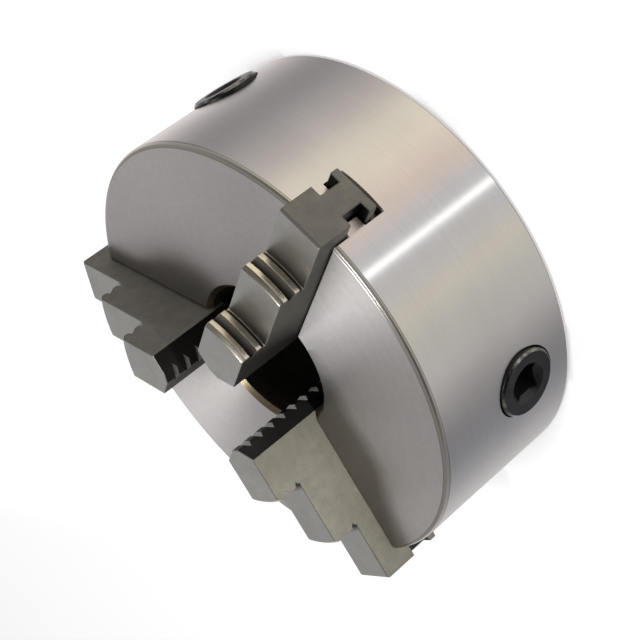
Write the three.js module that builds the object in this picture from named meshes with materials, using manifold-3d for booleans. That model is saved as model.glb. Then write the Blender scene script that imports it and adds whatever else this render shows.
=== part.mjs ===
// Three-jaw self-centring scroll chuck for a lathe, 200 mm size.
// Frame: millimetres, +Z along the chuck's axis towards the jaws, origin at the centre of the rear mounting face.
// Jaw 1 lies along -Y; the pinions lie midway between the jaws.
import * as THREE from "three";
import { mergeVertices } from "three/addons/utils/BufferGeometryUtils.js";
import Module from "manifold-3d";

// ---- body ----
const BODY_R = 100; // outside radius
const BODY_H = 75; // rear mounting face to front face
const BORE_R = 32.5; // through bore
const FRONT_CHAMFER = 2.2; // outer edge of the front face
const BORE_CHAMFER = 2.0;
const REGISTER_R = 82.5; // rear spigot recess, 165 mm across
const REGISTER_DEPTH = 5;
const SHOULDER_Z = 11; // the rear cover seats here
const CAVITY_R = 72.5; // scroll chamber
const CAVITY_TOP = 53.7; // underside of the front plate
const HUB_R = 41; // sleeve between bore and scroll
const BOLT_CIRCLE_R = 90; // three M10 mounting holes
const M10_R = 4.25; // tapping size
const M10_DEPTH = 20;
const SEGMENTS = 72;

// ---- jaws ----
const JAW_ANGLES = [-90, 30, 150];
const JAW_HALF = 10.5; // half width
const JAW_NECK = 5.6; // half width between the guide grooves
const GROOVE_TOP = -7.3; // heights from the front face
const GROOVE_BOTTOM = -17.2;
const JAW_BOTTOM = -21; // root of the jaw's teeth
const TOOTH_TIP = -25.8;
const STEP_Z = [34, 21.6, 9.1];
const STEP_R = [50, 79.9, 107.35];
const CROWN_R = 50; // convex radius of the outward gripping faces
// Outward faces, as [height above the foot, set-in] pairs: a foot land, an undercut, a gripping land,
// a serration, the upper gripping land and the top bevel. The last pair sits at the step's own height.
const FACE = [
  [0, 0.9],
  [0.6, 0.9],
  [1.2, 2.2],
  [2.2, 0.9],
  [2.2, 0],
  [4.6, 0],
  [7.6, 1.9],
  [8.8, 0],
  [10.9, 0],
];
const STEP_BEVEL = 1.5;
const TAIL_BEVEL = 0.8;
const TIP_R = 24.1; // gripping land, as the jaws stand
const WEDGE_APEX_R = 22.8; // where the two 30 degree wedge planes would meet
const SERRATION_PITCH = 6.6;
const JAW_TEETH = 7;
const FIRST_TOOTH_R = 34; // on jaw 1; jaws 2 and 3 start one and two thirds of a pitch further out

// ---- scroll ----
const PITCH = 10; // spiral thread pitch
const RIDGE_W = 4.4;
const TOOTH_W = 4.7;
const SCROLL_R = 72;
const SCROLL_IN = 41.4;
const THREAD_TOP = 53.4;
const THREAD_FLOOR = 48.9;
const DISC_BOTTOM = 41.2;

// ---- bevel gears: pitch cones meet at (0, 0, AXIS_Z) ----
const AXIS_Z = 27; // height of the pinion axes
const RING_TEETH = 72;
const PINION_TEETH = 12;
const RATIO = RING_TEETH / PINION_TEETH;
const MODULE = (2 * SCROLL_R) / RING_TEETH; // at the large end
const ADDENDUM = 1.3;
const DEDENDUM = 1.7;
const TOOTH_THICK = (Math.PI * MODULE) / 2 - 0.25;
const PRESSURE = (20 * Math.PI) / 180;
const GEAR_IN = 56;

// ---- pinions ----
const PINION_ANGLES = [-150, -30, 90];
const PINION_HOLE_R = 15;
const JOURNAL_R = 14.7;
const JOURNAL_IN = 73.1;
const PINION_OUT = 101.5;
const PINION_SHAFT_R = 8;
const STUB_R = 6;
const STUB_IN = 36.6;
const SQUARE = 12; // key socket across flats
const SOCKET_DEPTH = 16;
const SOCKET_MOUTH_R = 9.1;
const LOCATE_R = 90; // radius at which the locating screw enters the journal groove
const LOCATE_GROOVE = 6;
const LOCATE_ROOT_R = 11.4;

// ---- covers and screws ----
const COVER_R = 82.1;
const COVER_Z0 = 5;
const COVER_Z1 = 10.7;
const SUPPORT_R = 53.5; // ring that carries the scroll from behind
const SUPPORT_TOP = 40.9;
const COVER_SCREW_PCR = 76.6;
const COVER_SCREW_ANGLES = [-60, 0, 60, 120, 180, 240];
const GAP = 0.3;

const wasm = await Module();
wasm.setup();
const RAD = Math.PI / 180;

// A three.js geometry as a closed solid.
function solid(geometry) {
  const g = geometry.clone();
  g.deleteAttribute("normal");
  g.deleteAttribute("uv");
  const merged = mergeVertices(g, 1e-4);
  const source = merged.index.array;
  const keep = [];
  for (let i = 0; i < source.length; i += 3) {
    const [a, b, c] = [source[i], source[i + 1], source[i + 2]];
    if (a !== b && b !== c && c !== a) keep.push(a, b, c);
  }
  const make = (triVerts) =>
    new wasm.Manifold(
      new wasm.Mesh({
        numProp: 3,
        vertProperties: new Float32Array(merged.attributes.position.array),
        triVerts: new Uint32Array(triVerts),
      }),
    );
  const made = make(keep);
  if (made.volume() >= 0) return made;
  for (let i = 0; i < keep.length; i += 3)
    [keep[i + 1], keep[i + 2]] = [keep[i + 2], keep[i + 1]];
  return make(keep);
}

// A straight prism of a plan outline, from z0 to z1.
function prism(points, z0, z1) {
  const shape = new THREE.Shape(points.map(([x, y]) => new THREE.Vector2(x, y)));
  const g = new THREE.ExtrudeGeometry(shape, {
    depth: z1 - z0,
    bevelEnabled: false,
    curveSegments: 1,
  });
  g.translate(0, 0, z0);
  return g;
}

// A closed (r, z) outline turned about +Z.
function turned(outline, segments = SEGMENTS) {
  const pts = outline.map(([r, z]) => new THREE.Vector2(r, z));
  if (outline[0][0] > 1e-9 || outline[outline.length - 1][0] > 1e-9)
    pts.push(pts[0].clone());
  const g = new THREE.LatheGeometry(pts, segments);
  g.rotateX(Math.PI / 2);
  return g;
}

// The same outline, (r, x), turned about +X.
function turnedX(outline, segments) {
  const g = turned(outline, segments);
  g.rotateY(Math.PI / 2);
  return g;
}

// An outline in (s, z), swept along +X from x0 to x1, with s along +Y.
function alongX(points, x0, x1) {
  const g = prism(points, x0, x1);
  // (x, y, z) -> (z, x, y)
  g.applyMatrix4(new THREE.Matrix4().set(0, 0, 1, 0, 1, 0, 0, 0, 0, 1, 0, 0, 0, 0, 0, 1));
  return g;
}

// An outline in (x, z), swept across the width from y0 to y1.
function acrossY(points, y0, y1) {
  const g = prism(points, y0, y1);
  // (x, y, z) -> (x, z, y)
  g.applyMatrix4(new THREE.Matrix4().set(1, 0, 0, 0, 0, 0, 1, 0, 0, 1, 0, 0, 0, 0, 0, 1));
  return g;
}

const spun = (geometry, degrees) => geometry.clone().rotateZ(degrees * RAD);

function box(x0, x1, y0, y1, z0, z1) {
  const g = new THREE.BoxGeometry(x1 - x0, y1 - y0, z1 - z0);
  g.translate((x0 + x1) / 2, (y0 + y1) / 2, (z0 + z1) / 2);
  return g;
}

function unite(parts) {
  let whole = parts[0];
  for (const p of parts.slice(1)) whole = whole.add(p);
  return whole;
}

function mesh(name, made, material) {
  const m = made.simplify ? made.simplify(0.01).getMesh() : made.getMesh();
  const g = new THREE.BufferGeometry();
  const count = m.vertProperties.length / m.numProp;
  const position = new Float32Array(count * 3);
  for (let i = 0; i < count; i++)
    for (let k = 0; k < 3; k++) position[i * 3 + k] = m.vertProperties[i * m.numProp + k];
  g.setAttribute("position", new THREE.BufferAttribute(position, 3));
  g.setIndex(new THREE.BufferAttribute(new Uint32Array(m.triVerts), 1));
  g.computeVertexNormals();
  const out = new THREE.Mesh(g, material);
  out.name = name;
  return out;
}

const finish = {
  body: () => new THREE.MeshStandardMaterial({ color: 0xb9b4ae, roughness: 0.32, metalness: 1 }),
  jaw: () => new THREE.MeshStandardMaterial({ color: 0x77746f, roughness: 0.38, metalness: 1 }),
  scroll: () => new THREE.MeshStandardMaterial({ color: 0x8c8983, roughness: 0.4, metalness: 1 }),
  oxide: () => new THREE.MeshStandardMaterial({ color: 0x202124, roughness: 0.45, metalness: 0.8 }),
  cover: () => new THREE.MeshStandardMaterial({ color: 0x9a9690, roughness: 0.4, metalness: 1 }),
};

const chuck = new THREE.Group();

// ---- chuck body: front plate, outer wall and bore sleeve in one piece ----
{
  let body = solid(
    turned([
      [BORE_R + BORE_CHAMFER, BODY_H],
      [BODY_R - FRONT_CHAMFER, BODY_H],
      [BODY_R, BODY_H - FRONT_CHAMFER],
      [BODY_R, 1.2],
      [BODY_R - 1.2, 0],
      [REGISTER_R + 0.6, 0],
      [REGISTER_R, 0.6],
      [REGISTER_R, SHOULDER_Z],
      [CAVITY_R, SHOULDER_Z],
      [CAVITY_R, CAVITY_TOP],
      [HUB_R, CAVITY_TOP],
      [HUB_R, REGISTER_DEPTH],
      [BORE_R + 1.2, REGISTER_DEPTH],
      [BORE_R, REGISTER_DEPTH + 1.2],
      [BORE_R, BODY_H - BORE_CHAMFER],
    ]),
  );
  const wide = JAW_HALF + GAP;
  const narrow = JAW_NECK + GAP;
  const railTop = BODY_H + GROOVE_TOP - GAP;
  const railBottom = BODY_H + GROOVE_BOTTOM + GAP;
  const floor = BODY_H + TOOTH_TIP - 0.5;
  const slot = [
    [-wide, BODY_H + 5],
    [-wide, railTop],
    [-narrow, railTop],
    [-narrow, railBottom],
    [-wide, railBottom],
    [-wide, floor],
    [wide, floor],
    [wide, railBottom],
    [narrow, railBottom],
    [narrow, railTop],
    [wide, railTop],
    [wide, BODY_H + 5],
  ];
  for (const a of JAW_ANGLES)
    body = body.subtract(solid(spun(alongX(slot, 8, BODY_R + 6), a)));
  for (const a of PINION_ANGLES) {
    const hole = turnedX(
      [
        [0, CAVITY_R - 2],
        [PINION_HOLE_R, CAVITY_R - 2],
        [PINION_HOLE_R, BODY_R + 3],
        [0, BODY_R + 3],
      ],
      24,
    );
    hole.translate(0, 0, AXIS_Z);
    body = body.subtract(solid(spun(hole, a)));
    const stub = turnedX(
      [
        [0, STUB_IN - 0.4],
        [STUB_R + GAP, STUB_IN - 0.4],
        [STUB_R + GAP, HUB_R + 2],
        [0, HUB_R + 2],
      ],
      16,
    );
    stub.translate(0, 0, AXIS_Z);
    body = body.subtract(solid(spun(stub, a)));
    const locate = turned(
      [
        [0, -1],
        [4.3, -1],
        [4.3, AXIS_Z - 10],
        [0, AXIS_Z - 10],
      ],
      16,
    );
    locate.translate(LOCATE_R, 0, 0);
    body = body.subtract(solid(spun(locate, a)));
  }
  for (const a of JAW_ANGLES) {
    const tapped = turned(
      [
        [0, -1],
        [M10_R + 1.7, -1],
        [M10_R + 0.7, 0],
        [M10_R, 0.7],
        [M10_R, M10_DEPTH],
        [0, M10_DEPTH + 2.4],
      ],
      16,
    );
    tapped.translate(BOLT_CIRCLE_R, 0, 0);
    body = body.subtract(solid(spun(tapped, a)));
  }
  for (const a of COVER_SCREW_ANGLES) {
    const tapped = turned(
      [
        [0, SHOULDER_Z - 3],
        [2.8, SHOULDER_Z - 3],
        [2.8, 24],
        [0, 25.4],
      ],
      12,
    );
    tapped.translate(COVER_SCREW_PCR, 0, 0);
    body = body.subtract(solid(spun(tapped, a)));
  }
  chuck.add(mesh("chuck_body", body, finish.body()));
}

// ---- scroll plate: spiral thread in front, bevel teeth behind ----
{
  const disc = solid(
    turned([
      [SCROLL_IN, DISC_BOTTOM],
      [SCROLL_R, DISC_BOTTOM],
      [SCROLL_R, THREAD_FLOOR],
      [SCROLL_IN, THREAD_FLOOR],
    ], 72),
  );
  // Spiral ridge. A thread groove lies at FIRST_TOOTH_R on jaw 1's azimuth, so the ridge is half a pitch off.
  const steps = 48; // per turn
  const ridgeAt = (turns) => FIRST_TOOTH_R + PITCH / 2 + PITCH * turns;
  const first = Math.round(((38.6 - ridgeAt(0)) / PITCH) * steps);
  const last = Math.round(((75.0 - ridgeAt(0)) / PITCH) * steps);
  const pos = [];
  const index = [];
  for (let i = first; i <= last; i++) {
    const t = i / steps;
    const a = (JAW_ANGLES[0] + 360 * t) * RAD;
    const r = ridgeAt(t);
    for (const [rr, z] of [
      [r - RIDGE_W / 2, THREAD_FLOOR - 1],
      [r + RIDGE_W / 2, THREAD_FLOOR - 1],
      [r + RIDGE_W / 2, THREAD_TOP],
      [r - RIDGE_W / 2, THREAD_TOP],
    ])
      pos.push(rr * Math.cos(a), rr * Math.sin(a), z);
  }
  const n = last - first;
  for (let i = 0; i < n; i++)
    for (let k = 0; k < 4; k++) {
      const a = i * 4 + k;
      const b = i * 4 + ((k + 1) % 4);
      index.push(a, b, b + 4, a, b + 4, a + 4);
    }
  index.push(0, 2, 1, 0, 3, 2);
  const e = n * 4;
  index.push(e, e + 1, e + 2, e, e + 2, e + 3);
  const ridgeGeometry = new THREE.BufferGeometry();
  ridgeGeometry.setAttribute("position", new THREE.BufferAttribute(new Float32Array(pos), 3));
  ridgeGeometry.setIndex(index);
  const band = solid(
    turned([
      [SCROLL_IN, DISC_BOTTOM + 2],
      [SCROLL_R, DISC_BOTTOM + 2],
      [SCROLL_R, THREAD_TOP + 2],
      [SCROLL_IN, THREAD_TOP + 2],
    ], 72),
  );
  const ridge = solid(ridgeGeometry).intersect(band);

  // Bevel ring: straight teeth that shrink towards the shared apex.
  const rp = [];
  const ri = [];
  const half = TOOTH_THICK / 2;
  const tipHalf = half - ADDENDUM * Math.tan(PRESSURE);
  const rootHalf = half + DEDENDUM * Math.tan(PRESSURE);
  const around = [];
  for (let k = 0; k < RING_TEETH; k++) {
    const c = (k * 2 * Math.PI) / RING_TEETH;
    around.push([c - rootHalf / SCROLL_R, DEDENDUM]);
    around.push([c - tipHalf / SCROLL_R, -ADDENDUM]);
    around.push([c + tipHalf / SCROLL_R, -ADDENDUM]);
    around.push([c + rootHalf / SCROLL_R, DEDENDUM]);
  }
  for (const [a, dz] of around) {
    const slope = 1 / RATIO + dz / SCROLL_R;
    // the end walls are flats, one to a tooth
    const sector = (2 * Math.PI) / RING_TEETH;
    const off = a - Math.round(a / sector) * sector;
    const flat = Math.cos(sector / 2) / Math.cos(off);
    for (const [r, z] of [
      [GEAR_IN, AXIS_Z + GEAR_IN * slope],
      [SCROLL_R, AXIS_Z + SCROLL_R * slope],
      [SCROLL_R, DISC_BOTTOM + 2],
      [GEAR_IN, DISC_BOTTOM + 2],
    ])
      rp.push(r * flat * Math.cos(a), r * flat * Math.sin(a), z);
  }
  const m = around.length;
  for (let i = 0; i < m; i++)
    for (let k = 0; k < 4; k++) {
      const a = i * 4 + k;
      const b = i * 4 + ((k + 1) % 4);
      const c = ((i + 1) % m) * 4 + k;
      const d = ((i + 1) % m) * 4 + ((k + 1) % 4);
      ri.push(a, b, d, a, d, c);
    }
  const ringGeometry = new THREE.BufferGeometry();
  ringGeometry.setAttribute("position", new THREE.BufferAttribute(new Float32Array(rp), 3));
  ringGeometry.setIndex(ri);
  const ring = solid(ringGeometry);
  chuck.add(mesh("scroll_plate", disc.add(ridge).add(ring), finish.scroll()));
}

// ---- jaws: stepped, with side guide grooves and spiral-thread teeth below ----
function jawPlan(half, outer, crowned) {
  const inner = (s) => Math.max(TIP_R, WEDGE_APEX_R + Math.abs(s) * Math.tan(30 * RAD));
  const land = (TIP_R - WEDGE_APEX_R) / Math.tan(30 * RAD);
  const pts = [
    [inner(half), -half],
    [TIP_R, -land],
    [TIP_R, land],
    [inner(half), half],
  ].reverse();
  // pts now runs from +half to -half along the inner end; close it round the outer end.
  if (!crowned) return [...pts, [outer, -half], [outer, half]];
  const rise = (s) =>
    Math.sqrt(CROWN_R * CROWN_R - s * s) - Math.sqrt(CROWN_R * CROWN_R - half * half);
  const arc = [];
  for (let i = 0; i <= 6; i++) {
    const s = -half + (2 * half * i) / 6;
    arc.push([outer + rise(s), s]);
  }
  return [...pts, ...arc];
}

// A prism of a jaw plan whose outward end leans: drawn in by in0 at z0 and by in1 at z1.
function leaning(outer, crowned, z0, z1, in0, in1) {
  const g = prism(jawPlan(JAW_HALF, outer, crowned), z0, z1);
  const p = g.attributes.position;
  for (let i = 0; i < p.count; i++)
    if (p.getX(i) > outer - 3.5)
      p.setX(i, p.getX(i) - (Math.abs(p.getZ(i) - z0) < 1e-3 ? in0 : in1));
  return g;
}

function jawSolid(number) {
  const F = BODY_H;
  const lap = 0.1;
  const parts = [
    leaning(STEP_R[2], false, F + GROOVE_TOP, F + STEP_Z[2] - TAIL_BEVEL, 0, 0),
    leaning(STEP_R[2], false, F + STEP_Z[2] - TAIL_BEVEL, F + STEP_Z[2], 0, TAIL_BEVEL),
  ];
  for (const k of [1, 0]) {
    const foot = F + STEP_Z[k + 1];
    const top = F + STEP_Z[k];
    const R = STEP_R[k];
    parts.push(leaning(R, true, foot - lap, foot, FACE[0][1], FACE[0][1]));
    const rows = [...FACE.map(([h, d]) => [foot + h, d]), [top, STEP_BEVEL]];
    for (let i = 0; i + 1 < rows.length; i++)
      if (rows[i + 1][0] > rows[i][0])
        parts.push(leaning(R, true, rows[i][0], rows[i + 1][0], rows[i][1], rows[i + 1][1]));
  }
  parts.push(
    prism(jawPlan(JAW_NECK, STEP_R[2], false), F + GROOVE_BOTTOM - lap, F + GROOVE_TOP + lap),
    prism(jawPlan(JAW_HALF, STEP_R[2], false), F + JAW_BOTTOM, F + GROOVE_BOTTOM),
  );
  // Teeth: crescents, so that each clears every turn of the spiral.
  const tilt = PITCH / (2 * Math.PI * 58);
  const outerR = 44;
  const innerR = 74;
  for (let k = 0; k < JAW_TEETH; k++) {
    const x0 = FIRST_TOOTH_R + (PITCH * number) / 3 + PITCH * k;
    const outline = [];
    const cuts = 6;
    for (let i = 0; i <= cuts; i++) {
      const s = -JAW_HALF + (2 * JAW_HALF * i) / cuts;
      outline.push([x0 + TOOTH_W / 2 + tilt * s - (outerR - Math.sqrt(outerR ** 2 - s * s)), s]);
    }
    for (let i = cuts; i >= 0; i--) {
      const s = -JAW_HALF + (2 * JAW_HALF * i) / cuts;
      outline.push([x0 - TOOTH_W / 2 + tilt * s - (innerR - Math.sqrt(innerR ** 2 - s * s)), s]);
    }
    parts.push(prism(outline, F + TOOTH_TIP, F + JAW_BOTTOM + lap));
  }
  let jaw = unite(parts.map(solid));
  // Serrations across the gripping land.
  for (let z = JAW_BOTTOM + 3.4; z < STEP_Z[0] - 1.5; z += SERRATION_PITCH)
    jaw = jaw.subtract(
      solid(
        acrossY(
          [
            [TIP_R - 0.6, F + z - 1.9],
            [TIP_R + 1.5, F + z],
            [TIP_R - 0.6, F + z + 1.9],
          ],
          -6,
          6,
        ),
      ),
    );
  return jaw;
}

JAW_ANGLES.forEach((angle, i) => {
  const jaw = mesh("jaw_" + (i + 1), jawSolid(i), finish.jaw());
  jaw.rotation.z = angle * RAD;
  chuck.add(jaw);
});

// ---- pinions: bevel gear, shaft and stub inside, grooved journal and key socket outside ----
function pinionSolid() {
  const rp = (MODULE * PINION_TEETH) / 2;
  const rb = rp * Math.cos(PRESSURE);
  const rt = rp + ADDENDUM;
  const rr = rp - DEDENDUM;
  const inv = (a) => Math.tan(a) - a;
  const halfAt = (r) => {
    const a = r > rb ? Math.acos(rb / r) : 0;
    return TOOTH_THICK / (2 * rp) + inv(PRESSURE) - inv(a);
  };
  const outline = [];
  for (let k = 0; k < PINION_TEETH; k++) {
    // a tooth space faces the scroll, so the teeth sit half a pitch off
    const c = Math.PI / 2 + ((k + 0.5) * 2 * Math.PI) / PINION_TEETH;
    const side = [
      [rr, halfAt(rb) + 0.01],
      [rp, halfAt(rp)],
      [rt, halfAt(rt)],
    ];
    for (const [r, h] of side) outline.push([r * Math.cos(c - h), r * Math.sin(c - h)]);
    for (const [r, h] of side.reverse()) outline.push([r * Math.cos(c + h), r * Math.sin(c + h)]);
  }
  const x0 = GEAR_IN + 0.4;
  const x1 = JOURNAL_IN + 0.1;
  const teeth = alongX(outline, x0, x1);
  const p = teeth.attributes.position;
  for (let i = 0; i < p.count; i++) {
    const k = p.getX(i) / SCROLL_R;
    p.setY(i, p.getY(i) * k);
    p.setZ(i, p.getZ(i) * k);
  }
  const stem = turnedX(
    [
      [0, STUB_IN],
      [STUB_R - 0.6, STUB_IN],
      [STUB_R, STUB_IN + 0.6],
      [STUB_R, HUB_R + 0.6],
      [PINION_SHAFT_R, HUB_R + 0.6],
      [PINION_SHAFT_R, x0 + 0.2],
      [0, x0 + 0.2],
    ],
    16,
  );
  const journal = turnedX(
    [
      [0, JOURNAL_IN],
      [JOURNAL_R, JOURNAL_IN],
      [JOURNAL_R, LOCATE_R - LOCATE_GROOVE / 2],
      [LOCATE_ROOT_R, LOCATE_R - LOCATE_GROOVE / 2],
      [LOCATE_ROOT_R, LOCATE_R + LOCATE_GROOVE / 2],
      [JOURNAL_R, LOCATE_R + LOCATE_GROOVE / 2],
      [JOURNAL_R, PINION_OUT - 0.8],
      [JOURNAL_R - 0.8, PINION_OUT],
      [0, PINION_OUT],
    ],
    24,
  );
  const half = SQUARE / 2;
  const socket = box(PINION_OUT - SOCKET_DEPTH, PINION_OUT + 1, -half, half, -half, half);
  const mouth = turnedX(
    [
      [0, PINION_OUT - 2.6],
      [SOCKET_MOUTH_R - 2.6, PINION_OUT - 2.6],
      [SOCKET_MOUTH_R, PINION_OUT],
      [SOCKET_MOUTH_R, PINION_OUT + 1],
      [0, PINION_OUT + 1],
    ],
    16,
  );
  return unite([journal, stem, teeth].map(solid)).subtract(solid(socket)).subtract(solid(mouth));
}
{
  const pinion = pinionSolid();
  PINION_ANGLES.forEach((angle, i) => {
    const turn = new THREE.Group();
    turn.rotation.z = angle * RAD;
    const m = mesh("pinion_" + (i + 1), pinion, finish.oxide());
    m.position.z = AXIS_Z;
    turn.add(m);
    chuck.add(turn);
  });
}

// ---- locating screws: slotted, with a dog that enters each pinion's groove ----
{
  const shank = solid(
    turned(
      [
        [0, 0.6],
        [3.6, 0.6],
        [4, 1.0],
        [4, 11.5],
        [2.5, 11.5],
        [2.5, AXIS_Z - LOCATE_ROOT_R - 0.8],
        [0, AXIS_Z - LOCATE_ROOT_R - 0.8],
      ],
      14,
    ),
  ).subtract(solid(box(-6, 6, -0.6, 0.6, -1, 2.4)));
  PINION_ANGLES.forEach((angle, i) => {
    const turn = new THREE.Group();
    turn.rotation.z = angle * RAD;
    const m = mesh("pinion_screw_" + (i + 1), shank, finish.oxide());
    m.position.x = LOCATE_R;
    turn.add(m);
    chuck.add(turn);
  });
}

// ---- rear cover: closes the chamber and carries the scroll on an inner ring ----
{
  let cover = solid(
    turned([
      [HUB_R + 0.4, COVER_Z0],
      [COVER_R - 0.5, COVER_Z0],
      [COVER_R, COVER_Z0 + 0.5],
      [COVER_R, COVER_Z1],
      [SUPPORT_R, COVER_Z1],
      [SUPPORT_R, SUPPORT_TOP],
      [HUB_R + 0.4, SUPPORT_TOP],
    ], 48),
  );
  const r = PINION_SHAFT_R + 0.7;
  const notch = [[-r, SUPPORT_TOP + 2]];
  for (let i = 0; i <= 8; i++) {
    const a = Math.PI + (Math.PI * i) / 8;
    notch.push([r * Math.cos(a), AXIS_Z + r * Math.sin(a)]);
  }
  notch.push([r, SUPPORT_TOP + 2]);
  for (const a of PINION_ANGLES)
    cover = cover.subtract(solid(spun(alongX(notch, HUB_R - 6, SUPPORT_R + 2), a)));
  for (const a of COVER_SCREW_ANGLES) {
    const sunk = turned(
      [
        [0, COVER_Z0 - 1],
        [4.7, COVER_Z0 - 1],
        [4.7, COVER_Z0 + 0.2],
        [2.8, COVER_Z0 + 2.1],
        [2.8, COVER_Z1 + 1],
        [0, COVER_Z1 + 1],
      ],
      14,
    );
    sunk.translate(COVER_SCREW_PCR, 0, 0);
    cover = cover.subtract(solid(spun(sunk, a)));
  }
  chuck.add(mesh("rear_cover", cover, finish.cover()));
}

// ---- countersunk socket screws of the rear cover ----
{
  const hex = [];
  for (let i = 0; i < 6; i++) {
    const a = ((i + 0.5) * Math.PI) / 3;
    hex.push([(1.5 / Math.cos(Math.PI / 6)) * Math.cos(a), (1.5 / Math.cos(Math.PI / 6)) * Math.sin(a)]);
  }
  const screw = solid(
    turned(
      [
        [0, COVER_Z0 + 0.3],
        [4.3, COVER_Z0 + 0.3],
        [4.3, COVER_Z0 + 0.5],
        [2.5, COVER_Z0 + 2.3],
        [2.5, 22.6],
        [2.1, 23],
        [0, 23],
      ],
      12,
    ),
  ).subtract(solid(prism(hex, COVER_Z0 - 1, COVER_Z0 + 2.6)));
  COVER_SCREW_ANGLES.forEach((angle, i) => {
    const turn = new THREE.Group();
    turn.rotation.z = angle * RAD;
    const m = mesh("cover_screw_" + (i + 1), screw, finish.oxide());
    m.position.x = COVER_SCREW_PCR;
    turn.add(m);
    chuck.add(turn);
  });
}

export default chuck;
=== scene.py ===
import math
import bmesh
import bpy
import numpy as np
from mathutils import Matrix, Vector


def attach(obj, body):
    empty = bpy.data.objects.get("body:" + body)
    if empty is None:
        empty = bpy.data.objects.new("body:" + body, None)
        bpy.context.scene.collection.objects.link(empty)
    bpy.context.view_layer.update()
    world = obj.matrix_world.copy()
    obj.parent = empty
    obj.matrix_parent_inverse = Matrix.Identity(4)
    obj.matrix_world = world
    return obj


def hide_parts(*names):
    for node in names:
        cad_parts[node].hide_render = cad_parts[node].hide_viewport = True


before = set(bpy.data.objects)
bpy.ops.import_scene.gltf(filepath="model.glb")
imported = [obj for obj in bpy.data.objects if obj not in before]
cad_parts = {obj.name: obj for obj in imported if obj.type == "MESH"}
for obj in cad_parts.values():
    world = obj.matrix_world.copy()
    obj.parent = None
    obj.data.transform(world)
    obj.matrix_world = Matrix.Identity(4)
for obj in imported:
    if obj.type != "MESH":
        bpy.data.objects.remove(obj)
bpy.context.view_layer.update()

RAD = math.pi / 180
MM = 0.001

# ---------------------------------------------------------------- dimensions, in mm, as in the CAD part
BODY_R, BODY_H, BORE_R = 100.0, 75.0, 32.5
FRONT_CHAMFER, BORE_CHAMFER = 2.2, 2.0
REGISTER_R, REGISTER_DEPTH, SHOULDER_Z = 82.5, 5.0, 11.0
CAVITY_R, CAVITY_TOP, HUB_R = 72.5, 53.7, 41.0
BOLT_CIRCLE_R, M10_R, M10_DEPTH = 90.0, 4.25, 20.0
JAW_ANGLES = (-90, 30, 150)
JAW_HALF, JAW_NECK = 10.5, 5.6
GROOVE_TOP, GROOVE_BOTTOM, JAW_BOTTOM, TOOTH_TIP = -7.3, -17.2, -21.0, -25.8
STEP_Z = (34.0, 21.6, 9.1)
STEP_R = (50.0, 79.9, 107.35)
CROWN_R, STEP_BEVEL, TAIL_BEVEL = 50.0, 1.5, 0.8
# outward faces of the jaws, [height above the foot, set-in], with the corners eased
FACE = (
    (0.0, 0.9), (0.45, 0.9), (0.65, 0.98), (1.1, 2.0), (1.25, 2.12), (1.4, 2.1), (2.15, 0.95), (2.2, 0.12), (2.32, 0.0),
    (4.4, 0.0), (4.75, 0.06), (7.45, 1.8), (7.6, 1.86), (7.75, 1.78), (8.7, 0.12), (8.88, 0.0), (10.7, 0.0), (10.95, 0.06),
)
TIP_R, WEDGE_APEX_R, SERRATION_PITCH = 24.1, 22.8, 6.6
JAW_TEETH, FIRST_TOOTH_R = 7, 34.0
PITCH, RIDGE_W, TOOTH_W = 10.0, 4.4, 4.7
SCROLL_R, SCROLL_IN, THREAD_TOP, THREAD_FLOOR, DISC_BOTTOM = 72.0, 41.4, 53.4, 48.9, 41.2
AXIS_Z, RING_TEETH, PINION_TEETH = 27.0, 72, 12
RATIO = RING_TEETH / PINION_TEETH
MODULE = 2 * SCROLL_R / RING_TEETH
ADDENDUM, DEDENDUM = 1.3, 1.7
TOOTH_THICK = math.pi * MODULE / 2 - 0.25
PRESSURE = 20 * RAD
GEAR_IN = 56.0
PINION_ANGLES = (-150, -30, 90)
PINION_HOLE_R, JOURNAL_R, JOURNAL_IN, PINION_OUT = 15.0, 14.7, 73.1, 101.5
PINION_SHAFT_R, STUB_R, STUB_IN = 8.0, 6.0, 36.6
SQUARE, SOCKET_DEPTH, SOCKET_MOUTH_R = 12.0, 16.0, 9.1
LOCATE_R, LOCATE_GROOVE, LOCATE_ROOT_R = 90.0, 6.0, 11.4
COVER_R, COVER_Z0, COVER_Z1, SUPPORT_R, SUPPORT_TOP = 82.1, 5.0, 10.7, 53.5, 40.9
COVER_SCREW_PCR, COVER_SCREW_ANGLES = 76.6, (-60, 0, 60, 120, 180, 240)
GAP = 0.3


# ---------------------------------------------------------------- mesh tools
def new_object(name, verts, faces):
    mesh = bpy.data.meshes.new(name)
    mesh.from_pydata([tuple(v) for v in verts], [], [tuple(f) for f in faces])
    mesh.update()
    obj = bpy.data.objects.new(name, mesh)
    bpy.context.scene.collection.objects.link(obj)
    bm = bmesh.new()
    bm.from_mesh(mesh)
    bmesh.ops.recalc_face_normals(bm, faces=bm.faces)
    if bm.calc_volume(signed=True) < 0:
        bmesh.ops.reverse_faces(bm, faces=bm.faces)
    bm.to_mesh(mesh)
    bm.free()
    return obj


def loft(name, rings, closed=False):
    """Rings of equal length joined in order; ends capped unless closed. A ring of one point closes to a tip."""
    verts, starts = [], []
    for ring in rings:
        starts.append((len(verts), len(ring)))
        verts += ring
    faces = []
    pairs = list(zip(starts, starts[1:] + ([starts[0]] if closed else [])))
    if not closed:
        pairs = list(zip(starts, starts[1:]))
    for (a, n), (b, m) in pairs:
        if n == 1 and m > 1:
            faces += [(a, b + (i + 1) % m, b + i) for i in range(m)]
        elif m == 1 and n > 1:
            faces += [(a + i, a + (i + 1) % n, b) for i in range(n)]
        else:
            faces += [(a + i, a + (i + 1) % n, b + (i + 1) % n, b + i) for i in range(n)]
    if not closed:
        for k in (0, -1):
            s, n = starts[k]
            if n > 1:
                faces.append(tuple(range(s, s + n)))
    return new_object(name, verts, faces)


def prism(name, outline, z0, z1):
    return loft(name, [[(x, y, z) for x, y in outline] for z in (z0, z1)])


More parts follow.
